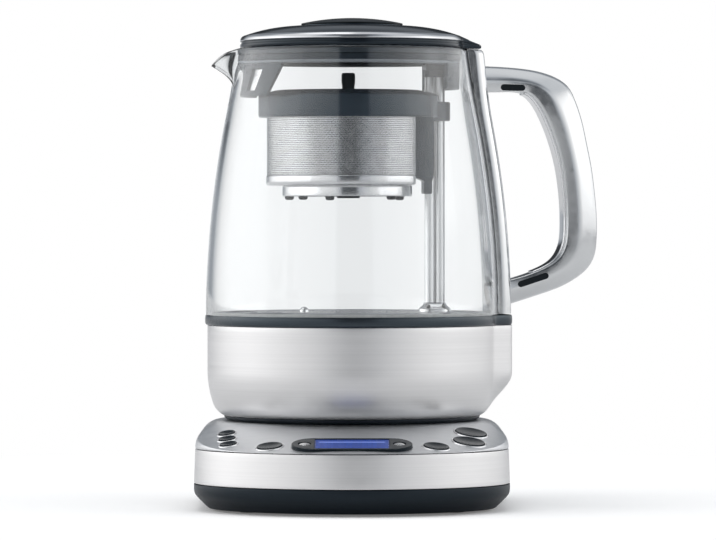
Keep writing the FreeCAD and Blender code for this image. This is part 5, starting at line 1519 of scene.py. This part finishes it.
# ---------------------------------------------------------------- lid
@dataclass
class Lid(Assembly):
    """Domed lid with its knob, skirt, seal, under-plate and spout strainer."""

    body: Body = Body.LID
    radius: float = 60.4
    tab_reach: float = 69.8
    cell: float = 0.8

    def build(self) -> None:
        """Make every piece of the lid."""
        self.make_dome()
        self.make_knob()
        self.make_skirt()
        self.make_strainer()
        self.dress_solids({"lid_seal": SEAL_DARK})

    def tab(self, place: Vector) -> Vector:
        """Pull the rim out over the handle's shield.

        Args:
            place: A vertex's place.

        Returns:
            The new place.
        """
        reach = math.hypot(place.x, place.y)
        if reach < 50.0:
            return place
        share = smooth(16.5, 11.0, abs(turn_from(AIM, place.x, place.y)))
        share *= smooth(56.0, self.radius, reach)
        grow = 1.0 + share * (self.tab_reach - self.radius) / reach
        fall = share * max(place.z - 246.2, 0.0) * 0.72
        return Vector((place.x * grow, place.y * grow, place.z - fall))

    def make_dome(self) -> None:
        """Glossy slate dome with a soft rim, and a bright metal band over the rim's fillet as a
        painted highlight.
        """
        form = Form().start(0.0, 255.2).line(29.0, 255.2)
        form.arc(58.3, 249.9, 83.0, left=False, steps=12)
        form.line(58.3, 245.15).line(60.2, 245.15, 0.4).line(60.4, 246.0).line(60.4, 247.3, 0.15)
        form.line(59.8, 247.5, 0.1).line(59.8, 248.6, 0.1).line(60.4, 248.8, 0.12)
        form.line(60.0, 249.2).arc(58.3, 251.6, 2.6, steps=5).line(58.3, 252.02)
        form.arc(28.4, 257.2, 86.0, steps=18)
        form.line(0.0, 257.2)
        form.soften(4).turned(256).bend(self.tab)
        self.finish(form, "lid_dome", SLATE_LID, ("lid_shell",), "slate_plastic", 50.0)
        # Painted highlight: a bright polished metal band laid over the dome's rounded rim, where
        # the glossy slate shows a highlight.
        band = Form().start(59.4, 249.0, 0.1).line(60.4, 249.0, 0.2).line(60.4, 249.4)
        band.arc(58.35, 252.05, 3.0, steps=8).line(57.9, 251.5).close(2)
        self.finish(band.turned(220, 326.0, POUR), "lid_highlight_band", LID_HIGHLIGHT, (), "", 50.0)

    def make_knob(self) -> None:
        """Low round knob: slate base ring with a fine gap over it, black cap with a domed top."""
        base = ring(22.0, 27.3, 256.9, 257.75, 0.2, 144, segments=2)
        self.finish(base, "lid_knob_base", SLATE, (), "slate_plastic")
        form = Form().start(0.0, 257.3).line(26.7, 257.3).line(26.7, 257.95, 0.1)
        form.line(27.4, 258.05, 0.15)
        form.line(27.4, 258.45).arc(26.95, 258.85, 0.45, steps=4).arc(0.0, 261.7, 128.8, steps=20)
        self.finish(form.soften(3).turned(144), "lid_knob_cap", KNOB_BLACK, ("lid_knob",),
                    "soft_black")

    def make_skirt(self) -> None:
        """Smoked skirt under the dome and the plate with the post's guide."""
        form = Form().start(56.2, 237.6, 0.3).line(58.4, 237.6, 0.3).line(58.4, 240.8, 0.1)
        form.line(58.0, 241.1, 0.1).line(58.0, 243.7, 0.1).line(58.4, 244.0, 0.1)
        form.line(58.4, 245.7).line(56.2, 245.7).close(2)
        self.finish(form.turned(192), "lid_skirt_ring", SMOKED, ("lid_skirt",), "smoked_plastic")
        plate = Form().start(48.6, 236.0, 0.3).line(57.6, 236.0, 0.4).line(58.0, 236.6, 0.2)
        plate.line(58.0, 237.6).line(49.6, 237.6, 0.3).line(48.6, 237.0, 0.3).close(3).turned(192)
        guard = Form().start(56.0, 222.6, 0.6).line(58.0, 222.6, 0.6).line(58.0, 236.6)
        guard.line(56.0, 236.6)
        guard.close(3).turned(60, 76.0)
        clip = Form(Plane.PLAN, height=233.35)
        clip.start(39.6, -5.6, 0.8).line(52.6, -5.6, 0.6).line(52.6, 5.6, 0.6).line(39.6, 5.6, 0.8)
        guard.join(clip.close(3).raised(3.6).stand(AT_HANDLE))
        self.finish(plate, "lid_under_plate", SMOKED_PLATE, ("lid_plate",), "smoked_plastic")
        self.finish(guard, "lid_post_guard", SMOKED)

    def slant(self, place: Vector) -> Vector:
        """Draw the strainer in towards its foot, so that both ends slant.

        Args:
            place: A vertex's place.

        Returns:
            The new place.
        """
        angle = turn_from(POUR, place.x, place.y)
        share = 0.72 + 0.21 * (place.z - 217.0) / 19.0
        reach = math.hypot(place.x, place.y) + smooth(236.0, 217.0, place.z) * 2.6
        turned = math.radians(angle * share) + POUR
        return Vector((reach * math.cos(turned), reach * math.sin(turned), place.z))

    def make_strainer(self) -> None:
        """Curved strainer behind the lip: a slanting frame with two windows of fine mesh."""
        shield = Form().start(56.0, 218.6, 0.5).line(58.0, 218.6, 0.5)
        for k in range(1, 8):
            shield.line(58.0, 218.6 + 17.4 * k / 8)
        shield.line(58.0, 236.0).line(56.0, 236.0)
        for k in range(7, 0, -1):
            shield.line(56.0, 218.6 + 17.4 * k / 8)
        shield.close(3).turned(72, 92.0, POUR)
        tools, gauze = Form(), Form()
        for side in (-1.0, 1.0):
            towards = POUR + side * math.radians(25.5)
            hole = Form().start(54.0, 221.6).line(60.0, 221.6).line(60.0, 233.0).line(54.0, 233.0)
            tools.join(hole.close().turned(20, 12.0, towards))
            gauze.join(perforated(57.0, math.radians(6.0), towards, 221.5, 233.1, self.cell, 0.20,
                                  0.4))
        mesh = self.carve(shield, tools, "strainer_frame")
        for vert in mesh.vertices:
            vert.co = self.slant(vert.co / MM) * MM
        self.enter(mesh, "strainer_frame", SMOKED, ("spout_filter_frame",), "smoked_plastic")
        self.finish(gauze.bend(self.slant), "strainer_gauze", STEEL_CUP, ("spout_filter_mesh",),
                    "steel", 30.0)


def perforated(radius: float, half_span: float, towards: float, low: float, high: float,
               cell: float, land: float, thick: float, centre: Point = (0.0, 0.0)) -> Form:
    """A curved sheet with staggered square holes.

    Args:
        radius: Outer radius of the sheet.
        half_span: Half of the angle it covers.
        towards: Direction of its middle.
        low: Lower edge.
        high: Upper edge.
        cell: Side of a grid cell; every second cell has a hole.
        land: Width left between a hole and its cell's edge.
        thick: Thickness of the sheet.
        centre: Place of its axis along the handle's azimuth and across it.

    Returns:
        The closed sheet.
    """
    columns = int(2.0 * half_span * radius / cell)
    rows = int((high - low) / cell)
    form = Form()
    bmesh.ops.create_grid(form.bm, x_segments=columns, y_segments=rows, size=0.5)
    form.bend(lambda p: Vector((p.x * columns, p.y * rows, 0.0)))
    chosen = []
    for face in form.bm.faces:
        middle = face.calc_center_median()
        column, row = int(middle.x + columns / 2.0), int(middle.y + rows / 2.0)
        if (column + row) % 2 and 0 < row < rows - 1 and 0 < column < columns - 1:
            chosen.append(face)
    bmesh.ops.inset_individual(form.bm, faces=chosen, thickness=land / cell, use_even_offset=True)
    bmesh.ops.delete(form.bm, geom=chosen, context="FACES")

    def wrap(place: Vector) -> Vector:
        """Roll the flat sheet up about its axis.

        Args:
            place: A vertex's place.

        Returns:
            The new place.
        """
        angle = place.x / columns * 2.0 * half_span + towards - AIM
        return Vector((radius * math.cos(angle), radius * math.sin(angle),
                       (low + high) / 2.0 + place.y / rows * (high - low)))

    form.bend(wrap)
    bmesh.ops.solidify(form.bm, geom=form.bm.faces[:], thickness=thick)
    form.tidy().move(centre[0], centre[1], 0.0)
    return form.stand(AT_HANDLE)


# ---------------------------------------------------------------- tea basket
@dataclass
class Basket(Assembly):
    """Tea basket: slate ring with its leg on the post, perforated cup and base disc."""

    body: Body = Body.BASKET
    offset: float = BASKET_OFFSET
    cup: float = 44.4
    flat: float = 30.4
    cell: float = 0.96

    def build(self) -> None:
        """Make every piece of the basket."""
        self.make_ring()
        self.make_cup()
        self.make_disc()
        self.dress_solids({"follower_magnet": NICKEL})

    def bore(self, low: float, high: float) -> Form:
        """Cutter for the slot round both tubes of the post.

        Args:
            low: Height of the lower end.
            high: Height of the upper end.

        Returns:
            The cutter.
        """
        form = Form(Plane.PLAN, height=low)
        stadium(form, 3.1 + POST_RUN, 3.1, 10)
        return form.raised(high - low).move(POST_MIDDLE, 0.0, 0.0).stand(AT_HANDLE)

    def make_ring(self) -> None:
        """Slate ring with soft rims, the sleeve round the post and the tapered leg."""
        hoop = Form().start(44.45, 207.4, 0.6).line(48.5, 207.4, 1.2).line(48.5, 219.5, 0.9)
        hoop.line(44.45, 221.0, 0.5).close(4).turned(192, centre=(self.offset, 0.0), towards=0.0)
        self.carved(hoop.stand(AT_HANDLE), self.bore(200.0, 230.0), "basket_hoop", SLATE,
                    ("basket_ring",), "slate_plastic")
        sleeve = Form()
        sleeve.stack(pill(5.7 + POST_RUN, 5.7),
                     ((0.6, 206.0), (0.15, 206.2), (0.0, 206.8), (0.0, 215.2), (0.2, 215.8),
                      (0.7, 216.0)))
        sleeve.fill().tidy().move(POST_MIDDLE, 0.0, 0.0)
        self.carved(sleeve.stand(AT_HANDLE), self.bore(200.0, 230.0), "basket_sleeve", SLATE, (),
                    "slate_plastic")
        leg = Form()

        def section(form: Form, inset: float, height: float) -> None:
            """Draw the leg's section, which steps in to a slimmer toe at its foot.

            Args:
                form: Form to draw in.
                inset: Distance moved inwards.
                height: Height in millimetres.
            """
            slim = smooth(177.0, 173.4, height)
            x0, x1 = 31.2 + inset + slim * 7.4, 44.1 - inset - slim * 0.9
            y = 6.6 - inset - slim * 1.6
            form.start(x0, -y, 0.9).line(x1, -y, 0.9).line(x1, y, 0.9).line(x0, y, 0.9).close(3)

        leg.stack(section, ((0.7, 166.8), (0.1, 167.1), (0.0, 167.9), (0.0, 173.4), (0.0, 174.1),
                            (0.0, 175.0), (0.0, 176.0), (0.0, 177.0), (0.0, 208.0)))
        leg.fill().tidy()
        self.carved(leg.stand(AT_HANDLE), self.bore(160.0, 230.0), "basket_leg", SLATE, (),
                    "slate_plastic")

    def d_outline(self, form: Form, inset: float, _: float) -> None:
        """Draw the cup's plan at an inset: a circle, cut flat on the post's side.

        Args:
            form: Form to draw in.
            inset: Distance moved inwards.
            _: Height, which this outline doesn't depend on.
        """
        radius, flat = self.cup - inset, self.flat - inset
        reach = flat - self.offset
        side = math.sqrt(radius ** 2 - reach ** 2)
        form.start(flat, side, 3.0)
        form.arc(self.offset, radius, radius, steps=9)
        form.arc(self.offset - radius, 0.0, radius, steps=24)
        form.arc(self.offset, -radius, radius, steps=24)
        form.arc(flat, -side, radius, steps=9)
        form.corners.append((form.tip, 3.0))
        form.close(5)

    def make_cup(self) -> None:
        """Perforated steel cup with a plain foot band, rolled edge and plain flat side, and a dark
        liner of painted shade behind the holes.
        """
        band = Form()
        band.stack(self.d_outline, (
            (14.0, 171.3), (5.0, 171.25), (1.3, 171.3), (0.45, 171.6), (0.08, 172.2),
            (0.0, 173.0), (0.0, 175.7), (0.12, 176.2), (0.45, 176.5), (0.45, 177.3),
            (0.95, 177.3), (0.95, 176.0), (1.2, 173.6), (2.2, 172.4), (14.0, 172.2)))
        band.fill().tidy()
        self.finish(band.stand(AT_HANDLE), "basket_cup_foot", STEEL_CUP, ("basket_cup",),
                    "brushed_steel", 45.0)
        half = math.radians(180.0 - 46.0)
        sheet = perforated(self.cup - 0.45, half, POUR, 176.9, 209.5, self.cell, 0.06, 0.45,
                           (self.offset, 0.0))
        self.finish(sheet, "basket_cup_holes", STEEL_SHEET, (), "brushed_steel", 30.0)
        # Dark liner just inside the holed sheet: painted shade for the inside of the cup, seen
        # through the holes.
        shade_liner = Form().start(42.6, 176.0).line(42.9, 176.0).line(42.9, 207.0).line(42.6, 207.0)
        shade_liner.close()
        shade_liner.turned(150, 262.0, POUR - AIM, (0.0, 0.0)).move(self.offset, 0.0, 0.0)
        self.finish(shade_liner.stand(AT_HANDLE), "basket_shade_liner", SHADE_LINER, (), "steel")
        wall = Form(Plane.PLAN, height=176.8)
        reach = self.flat - self.offset
        side = math.sqrt((self.cup - 0.45) ** 2 - reach ** 2)
        edge = math.radians(46.3)
        rim_x = math.cos(edge) * (self.cup - 0.4) + self.offset
        rim_y = math.sin(edge) * (self.cup - 0.4)
        wall.start(rim_x, -rim_y).arc(self.flat - 0.4, -side, self.cup, steps=5)
        wall.line(self.flat - 0.4, side).arc(rim_x, rim_y, self.cup, steps=5)
        wall.line(rim_x - 0.6, rim_y - 0.6)
        wall.arc(self.flat - 1.2, side - 0.5, self.cup, left=False, steps=5)
        wall.line(self.flat - 1.2, -side + 0.5)
        wall.arc(rim_x - 0.6, -rim_y + 0.6, self.cup, left=False, steps=5).close()
        self.finish(wall.raised(33.0).stand(AT_HANDLE), "basket_cup_flat", STEEL_CUP, (),
                    "brushed_steel", 45.0)

    def make_disc(self) -> None:
        """Stepped steel base under the cup with small dark feet."""
        form = Form().start(0.0, 169.2).line(33.6, 169.2).line(33.6, 165.4, 0.3)
        form.line(35.6, 165.4, 0.5)
        form.line(35.6, 170.5).line(35.2, 171.2).line(0.0, 171.2)
        form.soften(3).turned(144, centre=(self.offset, 0.0))
        beyond = Form(Plane.PLAN, height=160.0)
        beyond.start(self.flat, -40.0).line(60.0, -40.0).line(60.0, 40.0).line(self.flat, 40.0)
        beyond.close()
        self.carved(form, beyond.raised(20.0).stand(AT_HANDLE), "basket_base_disc", STEEL_CUP,
                    ("basket_disc",), "brushed_steel")
        feet = Form()
        feet.join(rod(6.2, 164.5, 169.4, 0.3, 40, (self.offset, 0.0)))
        for degrees in (-172.0, -145.0, -54.0, 24.0, 100.0):
            angle = math.radians(degrees)
            stub = rod(2.5, 163.5, 167.4, 1.1, 24, (32.9 * math.cos(angle) + self.offset,
                                                    32.9 * math.sin(angle)))
            feet.join(stub)
        self.finish(feet, "basket_base_studs", KNOB_BLACK, (), "soft_black")


@dataclass
class BasketCover(Assembly):
    """Loose lid of the basket with its small knob."""

    body: Body = Body.BASKET_COVER

    def build(self) -> None:
        """Make the lid and the knob."""
        disc = Form().start(0.0, 219.4).line(44.0, 219.4, 0.4).line(44.0, 220.8, 0.7)
        disc.line(38.4, 222.2, 1.2).line(36.6, 222.2, 0.3).line(36.0, 221.6, 0.3).line(8.0, 221.6)
        disc.line(0.0, 221.9)
        disc.soften(3).turned(160, centre=(BASKET_OFFSET, 0.0))
        beyond = Form(Plane.PLAN, height=210.0)
        beyond.start(39.0, -30.0).line(60.0, -30.0).line(60.0, 30.0).line(39.0, 30.0).close()
        self.carved(disc, beyond.raised(20.0).stand(AT_HANDLE), "basket_top", SLATE,
                    ("basket_lid",), "slate_plastic")
        knob = Form().start(0.0, 221.6).line(3.4, 221.7, 0.4).line(3.3, 224.0).line(3.7, 226.5, 0.6)
        knob.line(3.7, 230.8, 0.5).line(3.0, 231.5, 0.4)
        knob.line(0.0, 231.5)
        self.finish(knob.soften(3).turned(48, centre=(BASKET_OFFSET, 0.0)), "basket_top_knob",
                    KNOB_BLACK, ("basket_lid_knob",), "soft_black")


# ---------------------------------------------------------------- studio
@dataclass
class Studio:
    """Pale floor, soft light, surroundings for reflections, and the camera."""

    eye: tuple[float, float, float] = (0.0, -2.484, 0.1517)
    aim: tuple[float, float, float] = (0.00324, 0.0, 0.12582)
    lens: float = 231.3
    horizon_fade: float = 0.55
    low_round: tuple[Point, ...] = (
        (-180, 1.0), (-175, 1.0), (-167, 0.6), (-156, 0.3), (-146, 0.5), (-135, 1.2), (-120, 1.75),
        (-100, 2.2), (-80, 2.0), (-60, 1.55), (-40, 1.2), (-25, 1.0), (-14, 0.85), (-11, 0.10),
        (0, 0.08), (15, 0.08), (18, 0.60), (30, 0.85), (50, 1.15), (75, 1.8), (84, 2.2),
        (92, 2.1), (100, 1.7), (120, 1.45), (135, 1.3), (146, 0.5), (156, 0.3), (167, 0.6),
        (175, 1.0), (180, 1.0),
    )
    high_round: tuple[Point, ...] = (
        (-180, 0.30), (-137, 0.35), (-100, 1.1), (-50, 1.0), (-22, 0.15), (22, 0.15), (50, 0.75),
        (100, 0.85), (137, 0.35), (180, 0.30),
    )

    def build(self) -> None:
        """Set up everything that isn't the machine."""
        self.make_camera()
        self.make_floor()
        self.make_surroundings()
        self.make_lamps()
        bpy.context.scene.view_settings.view_transform = "Standard"

    def make_camera(self) -> None:
        """Long lens at table height."""
        data = bpy.data.cameras.new("camera")
        data.lens = self.lens
        data.sensor_width = 36.0
        data.clip_end = 50.0
        camera = bpy.data.objects.new("camera", data)
        bpy.context.scene.collection.objects.link(camera)
        camera.location = self.eye
        look = Vector(self.aim) - Vector(self.eye)
        camera.rotation_euler = look.to_track_quat("-Z", "Y").to_euler()
        bpy.context.scene.camera = camera

    def make_floor(self) -> None:
        """Pale floor whose colour runs into the backdrop away from the machine."""
        bm = bmesh.new()
        bmesh.ops.create_circle(bm, cap_ends=True, segments=96, radius=14.0)
        mesh = bpy.data.meshes.new("floor")
        bm.to_mesh(mesh)
        bm.free()
        floor = bpy.data.objects.new("floor", mesh)
        bpy.context.scene.collection.objects.link(floor)
        material = bpy.data.materials.new("floor_pale")
        material.use_nodes = True
        tree = Tree(material.node_tree)
        out = tree.add("OutputMaterial")
        matt = tree.add("BsdfDiffuse", {"Color": (0.86, 0.86, 0.86, 1.0)})
        lift = tree.add("Emission", {"Color": (1.0, 1.0, 1.0, 1.0), "Strength": 0.16})
        near = tree.add("AddShader", {0: matt.outputs[0], 1: lift.outputs[0]})
        way = tree.vector("NORMALIZE", tree.spot()).outputs[0]
        white = self.flagged(tree, tree.add("SeparateXYZ", {0: way}).outputs[0])
        far = tree.add("Emission", {"Color": white, "Strength": 1.0})
        length = tree.vector("LENGTH", tree.spot()).outputs["Value"]
        fade = tree.remap(length, 0.16, self.horizon_fade)
        blend = tree.add("MixShader", {0: fade, 1: near.outputs[0], 2: far.outputs[0]})
        dim = tree.add("BsdfDiffuse", {"Color": (0.74, 0.74, 0.74, 1.0)})
        mirror = tree.add("LightPath").outputs["Is Glossy Ray"]
        other = tree.add("MixShader", {0: mirror, 1: matt.outputs[0], 2: dim.outputs[0]})
        plain = tree.add("MixShader", {0: self.straight_view(tree), 1: other.outputs[0],
                                       2: blend.outputs[0]})
        tree.feed(out, {0: plain.outputs[0]})
        mesh.materials.append(material)

    def flagged(self, tree: Tree, x: Socket) -> Socket:
        """White for the camera; seen through glass, darker towards the far sides."""
        flags = tree.remap(tree.math("ABSOLUTE", x), 0.10, 0.40, 1.0, 0.28)
        return tree.mix(tree.add("LightPath").outputs["Is Camera Ray"], flags, WHITE)

    def straight_view(self, tree: Tree) -> Socket:
        """1 for what the camera sees directly or straight through glass, else 0.

        Args:
            tree: Node tree to draw in.

        Returns:
            The socket with 1 or 0.
        """
        path = tree.add("LightPath")
        bounces = tree.math("ADD", path.outputs["Glossy Depth"], path.outputs["Diffuse Depth"])
        through = tree.math("MULTIPLY", path.outputs["Is Transmission Ray"],
                            tree.math("LESS_THAN", bounces, 0.5))
        return tree.math("MAXIMUM", path.outputs["Is Camera Ray"], through)

    def round_level(self, tree: Tree, share: Socket, stops: Sequence[Point]) -> Socket:
        """Brightness of the surroundings for a turn about the upright axis.

        Args:
            tree: The world's tree.
            share: Turn from the back over the left, 0.5 at the camera.
            stops: Turn from the camera in degrees and brightness of each stop.

        Returns:
            Socket with the brightness.
        """
        curve = tree.add("FloatCurve", {"Value": share})
        line = curve.mapping.curves[0]
        places = [(turn / 360.0 + 0.5, level / 3.0) for turn, level in stops]
        line.points[0].location, line.points[-1].location = places[0], places[-1]
        for place in places[1:-1]:
            line.points.new(*place)
        for point in line.points:
            point.handle_type = "VECTOR"
        curve.mapping.update()
        return tree.math("MULTIPLY", curve.outputs[0], 3.0)

    def make_surroundings(self) -> None:
        """World: white backdrop for the camera; soft boxes with a dark gap for everything else."""
        world = bpy.data.worlds.new("studio")
        bpy.context.scene.world = world
        world.use_nodes = True
        tree = Tree(world.node_tree)
        out = tree.add("OutputWorld")
        way = tree.add("SeparateXYZ", {0: tree.add("TexCoord").outputs["Generated"]})
        x, y, z = way.outputs[0], way.outputs[1], way.outputs[2]
        turn = tree.math("ARCTAN2", x, tree.math("MULTIPLY", y, -1.0))
        share = tree.math("MULTIPLY_ADD", turn, 0.5 / math.pi, 0.5)
        low = self.round_level(tree, share, self.low_round)
        high = self.round_level(tree, share, self.high_round)
        level = tree.mix(tree.remap(z, 0.30, 0.55), low, high)
        gap = tree.math("MULTIPLY", tree.remap(turn, 0.85, 1.15),
                        tree.remap(turn, 2.2, 2.5, 1.0, 0.0))
        flat = tree.remap(tree.math("ABSOLUTE", z), 0.09, 0.15, 1.0, 0.0)
        level = tree.mix(tree.math("MULTIPLY", gap, flat), level, (1.35, 1.35, 1.35, 1.0))
        behind = tree.math("MULTIPLY", tree.remap(y, 0.80, 0.92), tree.remap(z, 0.05, 0.10))
        stripe = tree.math("ADD", tree.remap(z, 0.30, 0.34, 0.04, 0.30),
                           tree.remap(z, 0.46, 0.52, 0.0, -0.2))
        level = tree.mix(behind, level, stripe)
        level = tree.mix(tree.remap(z, 0.85, 0.92), level, tree.remap(x, -0.04, 0.04, 1.7, 0.9))
        tint = tree.mix(tree.remap(level, 0.2, 1.1), (0.92, 1.0, 1.10, 1.0), WHITE)
        around = tree.vector("MULTIPLY", tint, level).outputs[0]
        colour = tree.mix(self.straight_view(tree), around, self.flagged(tree, x))
        sky = tree.add("Background", {"Color": colour, "Strength": 1.0})
        tree.feed(out, {0: sky.outputs[0]})

    def make_lamps(self) -> None:
        """Two tall soft boxes at the sides and a broad one overhead."""
        lamps = (("side_left", (-1.5, -0.5, 0.7), 1.2, 2.0),
                 ("side_right", (1.5, -0.4, 0.6), 1.2, 1.5),
                 ("overhead", (0.0, 0.1, 1.7), 1.6, 7.0))
        for name, place, size, power in lamps:
            data = bpy.data.lights.new(name, "AREA")
            data.shape = "SQUARE"
            data.size = size
            data.energy = power
            lamp = bpy.data.objects.new(name, data)
            bpy.context.scene.collection.objects.link(lamp)
            lamp.location = place
            way = Vector((0.0, 0.0, 0.1)) - Vector(place)
            lamp.rotation_euler = way.to_track_quat("-Z", "Y").to_euler()
            lamp.visible_glossy = False
            lamp.visible_camera = False


def main() -> None:
    """Build the machine and the studio."""
    logging.basicConfig(level=logging.INFO, format="%(message)s")
    for assembly in (PowerBase(), JugSocket(), Jug(), Lid(), Basket(), BasketCover(), Studio()):
        log.info("building %s", type(assembly).__name__)
        assembly.build()


if __name__ == "__main__":
    main()
